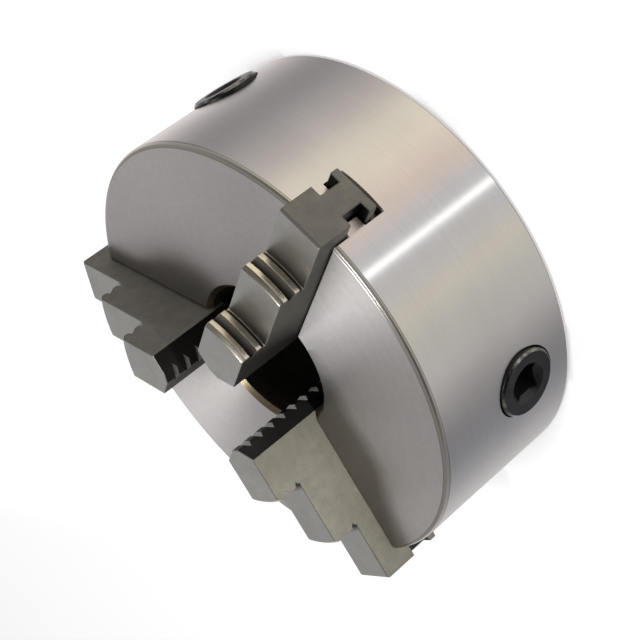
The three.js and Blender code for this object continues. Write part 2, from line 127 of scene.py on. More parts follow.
def along_x(name, outline, x0, x1):
    return loft(name, [[(x, s, z) for s, z in outline] for x in (x0, x1)])


def across_y(name, outline, y0, y1):
    return loft(name, [[(x, y, z) for x, z in outline] for y in (y0, y1)])


def turned(name, outline, segments, start=0.0):
    """A closed (r, z) outline, or one whose two ends lie on the axis, turned about +Z."""
    on_axis = outline[0][0] < 1e-9 and outline[-1][0] < 1e-9
    rings = []
    for r, z in outline:
        if r < 1e-9:
            rings.append([(0, 0, z)])
        else:
            rings.append(
                [
                    (
                        r * math.cos(start + 2 * math.pi * i / segments),
                        r * math.sin(start + 2 * math.pi * i / segments),
                        z,
                    )
                    for i in range(segments)
                ]
            )
    return loft(name, rings, closed=not on_axis)


TO_X = Matrix(((0, 0, 1, 0), (0, 1, 0, 0), (-1, 0, 0, 0), (0, 0, 0, 1)))  # +Z -> +X


def place(obj, matrix):
    obj.data.transform(matrix)
    obj.data.update()
    return obj


def spin(obj, degrees):
    return place(obj, Matrix.Rotation(degrees * RAD, 4, "Z"))


def shift(obj, x, y, z):
    return place(obj, Matrix.Translation((x, y, z)))


def apply_modifiers(obj):
    deps = bpy.context.evaluated_depsgraph_get()
    mesh = bpy.data.meshes.new_from_object(obj.evaluated_get(deps))
    obj.modifiers.clear()
    old = obj.data
    obj.data = mesh
    bpy.data.meshes.remove(old)
    return obj


def boolean(obj, others, operation="DIFFERENCE"):
    for i, other in enumerate(others):
        mod = obj.modifiers.new("b%d" % i, "BOOLEAN")
        mod.operation = operation
        mod.object = other
        mod.solver = "MANIFOLD"
    bpy.context.view_layer.update()
    apply_modifiers(obj)
    for other in others:
        mesh = other.data
        bpy.data.objects.remove(other)
        bpy.data.meshes.remove(mesh)
    return obj


def clean(obj, angle=0.4):
    """Merges flat neighbours into single faces and drops slivers."""
    bm = bmesh.new()
    bm.from_mesh(obj.data)
    bmesh.ops.remove_doubles(bm, verts=bm.verts, dist=2e-3)
    bmesh.ops.dissolve_limit(
        bm,
        angle_limit=angle * RAD,
        verts=bm.verts,
        edges=bm.edges,
        delimit=set(),
    )
    bmesh.ops.dissolve_degenerate(bm, dist=1e-3, edges=bm.edges)
    bm.to_mesh(obj.data)
    bm.free()
    return obj


def bevel(obj, width, segments=2, angle=28, only=None):
    """Rounds the sharp edges; only(mid, edge) can leave some out."""
    bm = bmesh.new()
    bm.from_mesh(obj.data)
    picked = []
    for e in bm.edges:
        if len(e.link_faces) != 2 or e.calc_face_angle(0) < angle * RAD:
            continue
        mid = (e.verts[0].co + e.verts[1].co) / 2
        if only is None or only(mid, e):
            picked.append(e)
    bmesh.ops.bevel(
        bm,
        geom=picked,
        offset=width,
        offset_type="OFFSET",
        segments=segments,
        profile=0.5,
        affect="EDGES",
        clamp_overlap=True,
        material=-1,
    )
    bmesh.ops.remove_doubles(bm, verts=bm.verts, dist=1e-4)
    bm.to_mesh(obj.data)
    bm.free()
    return obj


def shade(obj, angle=30, profile=None, weight_area=True):
    """Smooth normals inside each group of faces that meet at less than angle; faces of a turned profile get its exact normals."""
    mesh = obj.data
    n_faces = len(mesh.polygons)
    normals = np.zeros(n_faces * 3)
    areas = np.zeros(n_faces)
    mesh.polygons.foreach_get("normal", normals)
    mesh.polygons.foreach_get("area", areas)
    normals = normals.reshape(-1, 3)
    mesh.polygons.foreach_set("use_smooth", [True] * n_faces)
    around = [[] for _ in mesh.vertices]
    for p in mesh.polygons:
        for v in p.vertices:
            around[v].append(p.index)
    limit = math.cos(angle * RAD)
    custom = np.zeros((len(mesh.loops), 3))
    for p in mesh.polygons:
        n = normals[p.index]
        for li, v in zip(p.loop_indices, p.vertices):
            near = around[v]
            ns = normals[near]
            keep = ns @ n > limit
            w = areas[near][keep] if weight_area else np.ones(keep.sum())
            total = (ns[keep] * w[:, None]).sum(0)
            length = np.linalg.norm(total)
            custom[li] = total / length if length > 1e-12 else n
    if profile is not None:
        pts = np.array(profile, float)
        closed = np.vstack([pts, pts[:1]])
        d = closed[1:] - closed[:-1]
        length = np.linalg.norm(d, axis=1)
        seg_n = np.stack([d[:, 1], -d[:, 0]], 1) / length[:, None]
        # the outline may run either way: turn the normals outward by the signed area
        signed = 0.5 * (closed[:-1, 0] * closed[1:, 1] - closed[1:, 0] * closed[:-1, 1]).sum()
        if signed < 0:
            seg_n = -seg_n
        k = len(pts)
        start_n, end_n = seg_n.copy(), seg_n.copy()
        for i in range(k):
            j = (i + 1) % k
            if seg_n[i] @ seg_n[j] > math.cos(20 * RAD):
                m = seg_n[i] + seg_n[j]
                m /= np.linalg.norm(m)
                # long flats keep their own normal where a fillet joins them
                a = seg_n[i] if length[i] > 3 * length[j] else m
                b = seg_n[j] if length[j] > 3 * length[i] else m
                if length[i] > 3 * length[j]:
                    b = seg_n[i]
                if length[j] > 3 * length[i]:
                    a = seg_n[j]
                end_n[i], start_n[j] = a, b
        co = np.zeros(len(mesh.vertices) * 3)
        mesh.vertices.foreach_get("co", co)
        co = co.reshape(-1, 3)
        rz = np.stack([np.hypot(co[:, 0], co[:, 1]), co[:, 2]], 1)
        for p in mesh.polygons:
            vs = list(p.vertices)
            c = rz[vs].mean(0)
            n = normals[p.index]
            centre = co[vs].mean(0)
            rr = math.hypot(centre[0], centre[1])
            if rr < 1e-6:
                continue
            nr = (n[0] * centre[0] + n[1] * centre[1]) / rr
            rel = c - closed[:-1]
            t = np.clip((rel * d).sum(1) / (length**2), 0, 1)
            dist = np.linalg.norm(rel - t[:, None] * d, axis=1)
            match = seg_n[:, 0] * nr + seg_n[:, 1] * n[2]
            ok = (dist < 0.02) & (match > 0.97)
            if not ok.any():
                continue
            i = int(np.argmin(np.where(ok, dist, 9)))
            # every corner of the face must lie on that stretch of the profile
            relv = rz[vs] - closed[i]
            tv = (relv @ d[i]) / length[i] ** 2
            off = np.linalg.norm(relv - tv[:, None] * d[i], axis=1)
            if off.max() > 0.03:
                continue
            for li, v, tt in zip(p.loop_indices, vs, np.clip(tv, 0, 1)):
                q = start_n[i] * (1 - tt) + end_n[i] * tt
                q = q / np.linalg.norm(q)
                r = max(math.hypot(co[v][0], co[v][1]), 1e-9)
                custom[li] = (q[0] * co[v][0] / r, q[0] * co[v][1] / r, q[1])
    mesh.normals_split_custom_set([tuple(c) for c in custom])
    mesh.update()
    return obj


def fillet(outline, radii, steps=4):
    """Rounds the corners of a closed outline; radii maps a corner's index to its radius."""
    out = []
    n = len(outline)
    for i, p in enumerate(outline):
        r = radii.get(i, 0) if isinstance(radii, dict) else radii
        if not r:
            out.append(p)
            continue
        a, b = np.array(outline[i - 1], float), np.array(outline[(i + 1) % n], float)
        c = np.array(p, float)
        u, v = (a - c), (b - c)
        lu, lv = np.linalg.norm(u), np.linalg.norm(v)
        u, v = u / lu, v / lv
        cosang = float(np.clip(u @ v, -1, 1))
        ang = math.acos(cosang)
        if ang > math.pi - 1e-3:
            out.append(p)
            continue
        cut = min(r / math.tan(ang / 2), lu * 0.45, lv * 0.45)
        rr = cut * math.tan(ang / 2)
        s, e = c + u * cut, c + v * cut
        mid = (u + v) / np.linalg.norm(u + v)
        centre = c + mid * (rr / math.sin(ang / 2))
        a0 = math.atan2(*(s - centre)[::-1])
        a1 = math.atan2(*(e - centre)[::-1])
        while a1 - a0 > math.pi:
            a1 -= 2 * math.pi
        while a1 - a0 < -math.pi:
            a1 += 2 * math.pi
        for k in range(steps + 1):
            t = a0 + (a1 - a0) * k / steps
            out.append((float(centre[0] + rr * math.cos(t)), float(centre[1] + rr * math.sin(t))))
    return out


# ---------------------------------------------------------------- pieces
def circle_hole(x, y, radii_z, segments):
    """A turned cutter on a vertical axis at (x, y); radii_z runs from below to above."""
    outline = [(0.0, radii_z[0][1])] + list(radii_z) + [(0.0, radii_z[-1][1])]
    return shift(turned("hole", outline, segments), x, y, 0)


def threaded(r_core, r_crest, z0, z1, pitch, mouth):
    """Profile of a tapped hole drawn as rings, from a mouth at z0 up to z1."""
    pts = [(r_crest + mouth + 1, z0 - 1), (r_crest, z0 + mouth)]
    z = z0 + mouth
    while z + pitch < z1:
        pts += [
            (r_core, z + pitch * 0.42),
            (r_core, z + pitch * 0.58),
            (r_crest, z + pitch),
        ]
        z += pitch
    pts += [(r_core, z + 0.4), (r_core, z1)]
    return pts


BODY_PROFILE = fillet(
    [
        (BORE_R + BORE_CHAMFER, BODY_H),
        (BODY_R - FRONT_CHAMFER + 0.1, BODY_H),
        (BODY_R - FRONT_CHAMFER + 0.45, BODY_H - 0.2),
        (BODY_R - 0.85, BODY_H - 0.5),
        (BODY_R - 0.25, BODY_H - 1.25),
        (BODY_R, BODY_H - FRONT_CHAMFER),
        (BODY_R, 1.2),
        (BODY_R - 1.2, 0),
        (REGISTER_R + 0.6, 0),
        (REGISTER_R, 0.6),
        (REGISTER_R, SHOULDER_Z),
        (CAVITY_R, SHOULDER_Z),
        (CAVITY_R, CAVITY_TOP),
        (HUB_R, CAVITY_TOP),
        (HUB_R, REGISTER_DEPTH),
        (BORE_R + 1.2, REGISTER_DEPTH),
        (BORE_R, REGISTER_DEPTH + 1.2),
        (BORE_R, BODY_H - BORE_CHAMFER),
    ],
    {0: 0.35, 1: 0.15, 2: 0.2, 3: 0.9, 4: 0.9, 5: 0.5, 6: 0.4, 7: 0.4, 8: 0.2, 9: 0.2, 12: 1.2, 13: 1.2, 16: 0.2, 17: 0.35},
)


def slot_outline(o, top):
    """The jaw guide in a slot, (s, z), opened out by o."""
    wide, narrow = JAW_HALF + GAP + o, JAW_NECK + GAP + o
    rail_top = BODY_H + GROOVE_TOP - GAP - o
    rail_bottom = BODY_H + GROOVE_BOTTOM + GAP + o
    floor = BODY_H + TOOTH_TIP - 0.5 - o
    e = 0.45
    half = [
        (wide + e + top, BODY_H + top),
        (wide, BODY_H - e),
        (wide, rail_top),
        (narrow + e, rail_top),
        (narrow, rail_top - e),
        (narrow, rail_bottom + e),
        (narrow + e, rail_bottom),
        (wide, rail_bottom),
        (wide, floor),
    ]
    return half + [(-s, z) for s, z in reversed(half)]


def body_piece():
    body = turned("body_shell", BODY_PROFILE, 360)
    cutters = []
    for a in JAW_ANGLES:
        cutters.append(spin(along_x("slot", slot_outline(0, 3), 8, BODY_R + 6), a))
        ring0 = [(98.6, s, z) for s, z in slot_outline(0.0, 3)]
        ring1 = [(100.5, s, z) for s, z in slot_outline(1.1, 3)]
        cutters.append(spin(loft("flare", [ring0, ring1]), a))
        cutters.append(
            circle_hole(
                BOLT_CIRCLE_R * math.cos(a * RAD),
                BOLT_CIRCLE_R * math.sin(a * RAD),
                threaded(M10_R, 5.0, 0, M10_DEPTH, 1.5, 0.5),
                40,
            )
        )
    for a in PINION_ANGLES:
        hole = turned(
            "pinion_hole",
            [
                (0, CAVITY_R - 2),
                (PINION_HOLE_R, CAVITY_R - 2),
                (PINION_HOLE_R, 98.5),
                (PINION_HOLE_R + 0.35, 99.3),
                (PINION_HOLE_R + 0.9, 101.6),
                (0, 101.6),
            ],
            128,
        )
        cutters.append(spin(shift(place(hole, TO_X), 0, 0, AXIS_Z), a))
        stub = turned(
            "stub_hole",
            [(0, STUB_IN - 0.4), (STUB_R + GAP, STUB_IN - 0.4), (STUB_R + GAP, HUB_R + 2), (0, HUB_R + 2)],
            48,
        )
        cutters.append(spin(shift(place(stub, TO_X), 0, 0, AXIS_Z), a))
        cutters.append(
            circle_hole(
                LOCATE_R * math.cos(a * RAD),
                LOCATE_R * math.sin(a * RAD),
                [(5.8, -1), (4.3, 0.5), (4.3, AXIS_Z - 10)],
                40,
            )
        )
    for a in COVER_SCREW_ANGLES:
        cutters.append(
            circle_hole(
                COVER_SCREW_PCR * math.cos(a * RAD),
                COVER_SCREW_PCR * math.sin(a * RAD),
                [(2.8, SHOULDER_Z - 3), (2.8, 24)],
                28,
            )
        )
    return boolean(body, cutters)


# ---- jaws
def jaw_plan(half, outer, crowned, inner=0.0, corner=0.5):
    """Plan outline of a jaw, wedge tip inwards. inner draws the tip in; corner rounds the upright edges."""
    n = 14
    land = (TIP_R - WEDGE_APEX_R) / math.tan(30 * RAD)
    apex = WEDGE_APEX_R + inner * 1.155
    tip = TIP_R + inner
    side_x = apex + half * math.tan(30 * RAD)
    pts = [(side_x, half), (tip, land), (tip, -land), (side_x, -half)]
    rise = (lambda s: math.sqrt(CROWN_R**2 - s * s) - math.sqrt(CROWN_R**2 - half * half)) if crowned else (lambda s: 0.0)
    for i in range(n + 1):
        s = -half + 2 * half * i / n
        pts.append((outer + rise(s), s))
    last = len(pts) - 1
    return fillet(pts, {0: corner, 1: 0.25, 2: 0.25, 3: corner, 4: corner, last: corner}, 3)


def stack(name, outer, top, crowned, edge, foot=None):
    """One step of a jaw, from the underside of the jaw to its top, with its edges rounded."""
    F = BODY_H
    b = 0.55  # rounding of the long upper edges
    u = 0.35
    base = F + JAW_BOTTOM
    rings = []

    def ring(z, half, out, inner):
        rings.append([(x, y, z) for x, y in jaw_plan(half, out, crowned, inner)])

    first = outer - (FACE[0][1] if foot is not None else 0)
    ring(base, JAW_HALF - u, first - (u if foot is None else 0), u)
    ring(base + u, JAW_HALF, first, 0)
    if foot is not None:
        ring(F + foot - 0.4, JAW_HALF, first, 0)
        for h, d in FACE:
            ring(F + foot + h, JAW_HALF, outer - d, 0)
    else:
        ring(F + top - edge - 0.25, JAW_HALF, outer, 0)
        ring(F + top - edge + 0.05, JAW_HALF, outer - 0.12, 0)
    steps = 4
    for k in range(steps + 1):
        t = math.pi / 2 * k / steps
        dz = b * (1 - math.sin(t))
        inset = b * (1 - math.cos(t))
        lean = edge - dz if edge > dz else 0
        ring(F + top - dz, JAW_HALF - inset, outer - max(lean, 0.15), inset)
    return loft(name, rings)


def jaw_piece(number):
    F = BODY_H
    jaw = stack("jaw", STEP_R[2], STEP_Z[2], False, TAIL_BEVEL)
    parts = [
        stack("mid", STEP_R[1], STEP_Z[1], True, STEP_BEVEL, STEP_Z[2]),
        stack("top", STEP_R[0], STEP_Z[0], True, STEP_BEVEL, STEP_Z[1]),
    ]
    tilt = PITCH / (2 * math.pi * 58)
    outer_r, inner_r = 44.0, 74.0
    cuts = 14
    for k in range(JAW_TEETH):
        x0 = FIRST_TOOTH_R + PITCH * number / 3 + PITCH * k
        rings = []
        for z, c in ((TOOTH_TIP, 0.35), (TOOTH_TIP + 0.35, 0.0), (JAW_BOTTOM + 0.5, 0.0)):
            half, w = JAW_HALF - 0.02 - c, TOOTH_W / 2 - c
            line = []
            for i in range(cuts + 1):
                s = -half + 2 * half * i / cuts
                line.append((x0 + w + tilt * s - (outer_r - math.sqrt(outer_r**2 - s * s)), s, F + z))
            for i in range(cuts, -1, -1):
                s = -half + 2 * half * i / cuts
                line.append((x0 - w + tilt * s - (inner_r - math.sqrt(inner_r**2 - s * s)), s, F + z))
            rings.append(line)
        parts.append(loft("tooth", rings))
    boolean(jaw, parts, "UNION")
    cutters = []
    z = JAW_BOTTOM + 3.4
    while z < STEP_Z[0] - 1.5:
        cutters.append(
            across_y(
                "notch",
                [
                    (TIP_R - 1.2, F + z - 2.75),
                    (TIP_R + 1.35, F + z - 0.12),
                    (TIP_R + 1.35, F + z + 0.12),
                    (TIP_R - 1.2, F + z + 2.75),
                ],
                -7,
                7,
            )
        )
        z += SERRATION_PITCH
    lo, hi, e = F + GROOVE_BOTTOM, F + GROOVE_TOP, 0.4
    for side in (-1, 1):
        outline = fillet(
            [
                (JAW_NECK, lo),
                (JAW_HALF - e, lo),
                (JAW_HALF + 1.5, lo - e - 1.5),
                (JAW_HALF + 1.5, hi + e + 1.5),
                (JAW_HALF - e, hi),
                (JAW_NECK, hi),
            ],
            {0: 0.5, 5: 0.5},
            3,
        )
        cutters.append(along_x("groove", [(side * s, zz) for s, zz in outline], 15, 115))
        # where a groove runs out of the tail its edges are broken
        end = [(x, side * s, zz) for x, off in ((STEP_R[2] - 0.45, 0.0), (STEP_R[2] + 0.6, 1.05)) for s, zz in
               [(JAW_NECK - off, lo - off), (JAW_HALF + 2, lo - off), (JAW_HALF + 2, hi + off), (JAW_NECK - off, hi + off)]]
        cutters.append(loft("runout", [end[:4], end[4:]]))
    boolean(jaw, cutters)
    clean(jaw, 0.05)
    return jaw


# ---- pinions
def pinion_piece(name):
    rp = MODULE * PINION_TEETH / 2
    rb = rp * math.cos(PRESSURE)
    rt = rp + ADDENDUM
    rr = rp - DEDENDUM
    inv = lambda a: math.tan(a) - a

    def half_at(r):
        a = math.acos(rb / r) if r > rb else 0
        return TOOTH_THICK / (2 * rp) + inv(PRESSURE) - inv(a)

    outline = []
    for k in range(PINION_TEETH):
        c = math.pi / 2 + (k + 0.5) * 2 * math.pi / PINION_TEETH
        side = [(rr, half_at(rb) + 0.01), (rp - 0.8, half_at(rp - 0.55)), (rp, half_at(rp)), (rt - 0.15, half_at(rt - 0.15)), (rt, half_at(rt) - 0.018)]
        outline += [(r * math.cos(c - h), r * math.sin(c - h)) for r, h in side]
        outline += [(r * math.cos(c + h), r * math.sin(c + h)) for r, h in reversed(side)]
    x0, x1 = GEAR_IN + 0.4, JOURNAL_IN + 0.1
    teeth = loft(
        "teeth",
        [[(x, s * x / SCROLL_R, z * x / SCROLL_R) for s, z in outline] for x in (x0, x1)],
    )
    stem_outline = fillet(
        [
            (0, STUB_IN),
            (STUB_R - 0.6, STUB_IN),
            (STUB_R, STUB_IN + 0.6),
            (STUB_R, HUB_R + 0.6),
            (PINION_SHAFT_R, HUB_R + 0.6),
            (PINION_SHAFT_R, x0 + 0.2),
            (0, x0 + 0.2),
        ],
        {4: 0.5},
        3,
    )
    journal_outline = fillet(
        [
            (0, JOURNAL_IN),
            (JOURNAL_R - 0.5, JOURNAL_IN),
            (JOURNAL_R, JOURNAL_IN + 0.5),
            (JOURNAL_R, LOCATE_R - LOCATE_GROOVE / 2),
            (LOCATE_ROOT_R, LOCATE_R - LOCATE_GROOVE / 2),
            (LOCATE_ROOT_R, LOCATE_R + LOCATE_GROOVE / 2),
            (JOURNAL_R, LOCATE_R + LOCATE_GROOVE / 2),
            (JOURNAL_R, PINION_OUT - 1.0),
            (JOURNAL_R - 1.0, PINION_OUT),
            (0, PINION_OUT),
        ],
        {3: 0.3, 4: 0.6, 5: 0.6, 6: 0.3, 7: 0.5, 8: 0.5},
        4,
    )
    pinion = place(turned(name, journal_outline, 128), TO_X)
    stem = place(turned("stem", stem_outline, 64), TO_X)
    boolean(pinion, [teeth, stem], "UNION")
    h = SQUARE / 2
    square = fillet([(-h, -h), (h, -h), (h, h), (-h, h)], 0.9, 4)
    socket = along_x("socket", square, PINION_OUT - SOCKET_DEPTH, PINION_OUT + 1)
    mouth = place(
        turned(
            "mouth",
            fillet(
                [
                    (0, PINION_OUT - 2.6),
                    (SOCKET_MOUTH_R - 2.6, PINION_OUT - 2.6),
                    (SOCKET_MOUTH_R - 0.2, PINION_OUT - 0.2),
                    (SOCKET_MOUTH_R + 0.9, PINION_OUT + 0.9),
                    (0, PINION_OUT + 0.9),
                ],
                {},
            ),
            96,
        ),
        TO_X,
    )
    boolean(pinion, [socket, mouth])
    return shift(pinion, 0, 0, AXIS_Z)


# ---- rear cover, scroll and screws
def cover_piece():
    outline = fillet(
        [
            (HUB_R + 0.4, COVER_Z0),
            (COVER_R - 0.5, COVER_Z0),
            (COVER_R, COVER_Z0 + 0.5),
            (COVER_R, COVER_Z1),
            (SUPPORT_R, COVER_Z1),
            (SUPPORT_R, SUPPORT_TOP),
            (HUB_R + 0.4, SUPPORT_TOP),
        ],
        {0: 0.3, 1: 0.2, 2: 0.2, 4: 0.8, 5: 0.4, 6: 0.4},
    )
    cover = turned("cover", outline, 240)
    r = PINION_SHAFT_R + 0.7
    notch = [(-r, SUPPORT_TOP + 2)]
    for i in range(25):
        a = math.pi + math.pi * i / 24
        notch.append((r * math.cos(a), AXIS_Z + r * math.sin(a)))
    notch.append((r, SUPPORT_TOP + 2))
    cutters = [spin(along_x("notch", notch, HUB_R - 6, SUPPORT_R + 2), a) for a in PINION_ANGLES]
    for a in COVER_SCREW_ANGLES:
        cutters.append(
            circle_hole(
                COVER_SCREW_PCR * math.cos(a * RAD),
                COVER_SCREW_PCR * math.sin(a * RAD),
                [(4.9, COVER_Z0 - 1), (4.7, COVER_Z0 + 0.2), (2.8, COVER_Z0 + 2.1), (2.8, COVER_Z1 + 1)],
                48,
            )
        )
    return boolean(cover, cutters), outline


def scroll_piece():
    disc_outline = fillet(
        [(SCROLL_IN, DISC_BOTTOM), (SCROLL_R, DISC_BOTTOM), (SCROLL_R, THREAD_FLOOR), (SCROLL_IN, THREAD_FLOOR)],
        {},
    )
    disc = turned("scroll", disc_outline, 288)
    steps = 144
    ridge_at = lambda turns: FIRST_TOOTH_R + PITCH / 2 + PITCH * turns
    first = round((38.6 - ridge_at(0)) / PITCH * steps)
    last = round((75.0 - ridge_at(0)) / PITCH * steps)
    w, c = RIDGE_W / 2, 0.35
    rings = []
    for i in range(first, last + 1):
        a = (JAW_ANGLES[0] + 360 * i / steps) * RAD
        r = ridge_at(i / steps)
        rings.append(
            [
                (rr * math.cos(a), rr * math.sin(a), z)
                for rr, z in (
                    (r - w, THREAD_FLOOR - 1),
                    (r + w, THREAD_FLOOR - 1),
                    (r + w, THREAD_TOP - c),
                    (r + w - c, THREAD_TOP),
                    (r - w + c, THREAD_TOP),
                    (r - w, THREAD_TOP - c),
                )
            ]
        )
    ridge = loft("ridge", rings)
    band = turned(
        "band",
        [(SCROLL_IN, DISC_BOTTOM + 2), (SCROLL_R, DISC_BOTTOM + 2), (SCROLL_R, THREAD_TOP + 2), (SCROLL_IN, THREAD_TOP + 2)],
        288,
    )
    boolean(ridge, [band], "INTERSECT")
    half = TOOTH_THICK / 2
    tip_half = half - ADDENDUM * math.tan(PRESSURE)
    root_half = half + DEDENDUM * math.tan(PRESSURE)
    sector = 2 * math.pi / RING_TEETH
    rings = []
    for k in range(RING_TEETH):
        mid = k * sector
        for da, dz in (
            (-root_half, DEDENDUM),
            (-tip_half - 0.12, -ADDENDUM + 0.2),
            (-tip_half + 0.12, -ADDENDUM),
            (tip_half - 0.12, -ADDENDUM),
            (tip_half + 0.12, -ADDENDUM + 0.2),
            (root_half, DEDENDUM),
        ):
            a = mid + da / SCROLL_R
            off = a - round(a / sector) * sector
            flat = math.cos(sector / 2) / math.cos(off)
            slope = 1 / RATIO + dz / SCROLL_R
            rings.append(
                [
                    (r * flat * math.cos(a), r * flat * math.sin(a), z)
                    for r, z in (
                        (GEAR_IN, AXIS_Z + GEAR_IN * slope),
                        (SCROLL_R, AXIS_Z + SCROLL_R * slope),
                        (SCROLL_R, DISC_BOTTOM + 2),
                        (GEAR_IN, DISC_BOTTOM + 2),
                    )
                ]
            )
    gear = loft("gear", rings, closed=True)
    return boolean(disc, [ridge, gear], "UNION")


def pinion_screw_piece(name):
    outline = fillet(
        [
            (0, 0.6),
            (3.5, 0.6),
            (4, 1.1),
            (4, 11.5),
            (2.5, 11.5),
            (2.5, AXIS_Z - LOCATE_ROOT_R - 0.8),
            (0, AXIS_Z - LOCATE_ROOT_R - 0.8),
        ],
        {1: 0.3, 2: 0.3, 4: 0.3, 5: 0.5},
    )
    screw = turned(name, outline, 56)
    slot = loft(
        "slot",
        [
            [(-6, -w, z), (6, -w, z), (6, w, z), (-6, w, z)]
            for z, w in ((-0.6, 1.5), (0.65, 0.6), (2.4, 0.6))
        ],
    )
    return boolean(screw, [slot])


def cover_screw_piece(name):
    outline = fillet(
        [
            (0, COVER_Z0 + 0.3),
            (4.3, COVER_Z0 + 0.3),
            (4.3, COVER_Z0 + 0.5),
            (2.5, COVER_Z0 + 2.3),
            (2.5, 22.6),
            (2.1, 23),
            (0, 23),
        ],
        {1: 0.08, 3: 0.3},
    )
    screw = turned(name, outline, 56)
    hexagon = []
    for i in range(6):
        a = (i + 0.5) * math.pi / 3
        hexagon.append((1.5 / math.cos(math.pi / 6) * math.cos(a), 1.5 / math.cos(math.pi / 6) * math.sin(a)))
    key = loft(
        "key",
        [[(x * k, y * k, z) for x, y in hexagon] for z, k in ((COVER_Z0 - 1, 1.8), (COVER_Z0 + 0.45, 1.0), (COVER_Z0 + 2.6, 1.0))],
    )
    return boolean(screw, [key])


# ---------------------------------------------------------------- materials
def new_material(name):
    mat = bpy.data.materials.new(name)
    mat.use_nodes = True
    nt = mat.node_tree
    nt.nodes.clear()
    out = nt.nodes.new("ShaderNodeOutputMaterial")
    bsdf = nt.nodes.new("ShaderNodeBsdfPrincipled")
    nt.links.new(bsdf.outputs["BSDF"], out.inputs["Surface"])
    return mat, nt, bsdf


class Graph:
    """Short-hands for building shader nodes."""

    def __init__(self, nt):
        self.nt = nt

    def put(self, socket, value):
        if hasattr(value, "is_linked") or hasattr(value, "links"):
            self.nt.links.new(value, socket)
        elif isinstance(value, (tuple, list)) and len(value) == 3 and socket.type == "RGBA":
            socket.default_value = (*value, 1.0)
        else:
            socket.default_value = value

    def math(self, op, a, b=0.0, c=0.0, clamp=False):
        n = self.nt.nodes.new("ShaderNodeMath")
        n.operation, n.use_clamp = op, clamp
        for s, v in zip(n.inputs, (a, b, c)):
            self.put(s, v)
        return n.outputs[0]

    def scale(self, v, by):
        n = self.nt.nodes.new("ShaderNodeVectorMath")
        n.operation = "SCALE"
        self.put(n.inputs[0], v)
        n.inputs["Scale"].default_value = by
        return n.outputs[0]

    def xyz(self, v):
        n = self.nt.nodes.new("ShaderNodeSeparateXYZ")
        self.put(n.inputs[0], v)
        return n.outputs

    def vec(self, x, y, z):
        n = self.nt.nodes.new("ShaderNodeCombineXYZ")
        for s, v in zip(n.inputs, (x, y, z)):
            self.put(s, v)
        return n.outputs[0]

    def noise(self, v, scale=1.0, detail=3.0, rough=0.5, distortion=0.0):
        n = self.nt.nodes.new("ShaderNodeTexNoise")
        self.put(n.inputs["Vector"], v)
        n.inputs["Scale"].default_value = scale
        n.inputs["Detail"].default_value = detail
        n.inputs["Roughness"].default_value = rough
        n.inputs["Distortion"].default_value = distortion
        return n.outputs["Fac"]

    def ramp(self, fac, stops, interp="LINEAR"):
        n = self.nt.nodes.new("ShaderNodeValToRGB")
        n.color_ramp.interpolation = interp
        self.put(n.inputs[0], fac)
        els = n.color_ramp.elements
        while len(els) < len(stops):
            els.new(0.5)
        for e, (p, c) in zip(els, stops):
            e.position = p
            e.color = (*c, 1.0) if isinstance(c, (tuple, list)) else (c, c, c, 1.0)
        return n.outputs["Color"]

    def mix(self, fac, a, b, kind="MIX"):
        n = self.nt.nodes.new("ShaderNodeMix")
        n.data_type = "RGBA"
        n.blend_type = kind
        self.put(n.inputs[0], fac)
        self.put(n.inputs[6], a)
        self.put(n.inputs[7], b)
        return n.outputs[2]

    def lerp(self, fac, a, b):
        n = self.nt.nodes.new("ShaderNodeMix")
        n.data_type = "FLOAT"
        self.put(n.inputs[0], fac)
        self.put(n.inputs[2], a)
        self.put(n.inputs[3], b)
        return n.outputs[0]

    def remap(self, v, a, b, c, d):
        n = self.nt.nodes.new("ShaderNodeMapRange")
        for s, x in zip(n.inputs, (v, a, b, c, d)):
            self.put(s, x)
        return n.outputs[0]

    def bump(self, height, strength, distance):
        n = self.nt.nodes.new("ShaderNodeBump")
        n.inputs["Strength"].default_value = strength
        n.inputs["Distance"].default_value = distance
        self.put(n.inputs["Height"], height)
        return n.outputs["Normal"]

    def place(self):
        n = self.nt.nodes.new("ShaderNodeTexCoord")
        return n.outputs["Object"]

    def geometry(self):
        n = self.nt.nodes.new("ShaderNodeNewGeometry")
        return n.outputs

    def tangent_z(self):
        n = self.nt.nodes.new("ShaderNodeTangent")
        n.direction_type, n.axis = "RADIAL", "Z"
        return n.outputs[0]


def set_metal(bsdf, anisotropic=0.0, rotation=0.0, metallic=1.0, specular=0.5):
    bsdf.inputs["Metallic"].default_value = metallic
    bsdf.inputs["Anisotropic"].default_value = anisotropic
    bsdf.inputs["Anisotropic Rotation"].default_value = rotation
    bsdf.inputs["Specular IOR Level"].default_value = specular


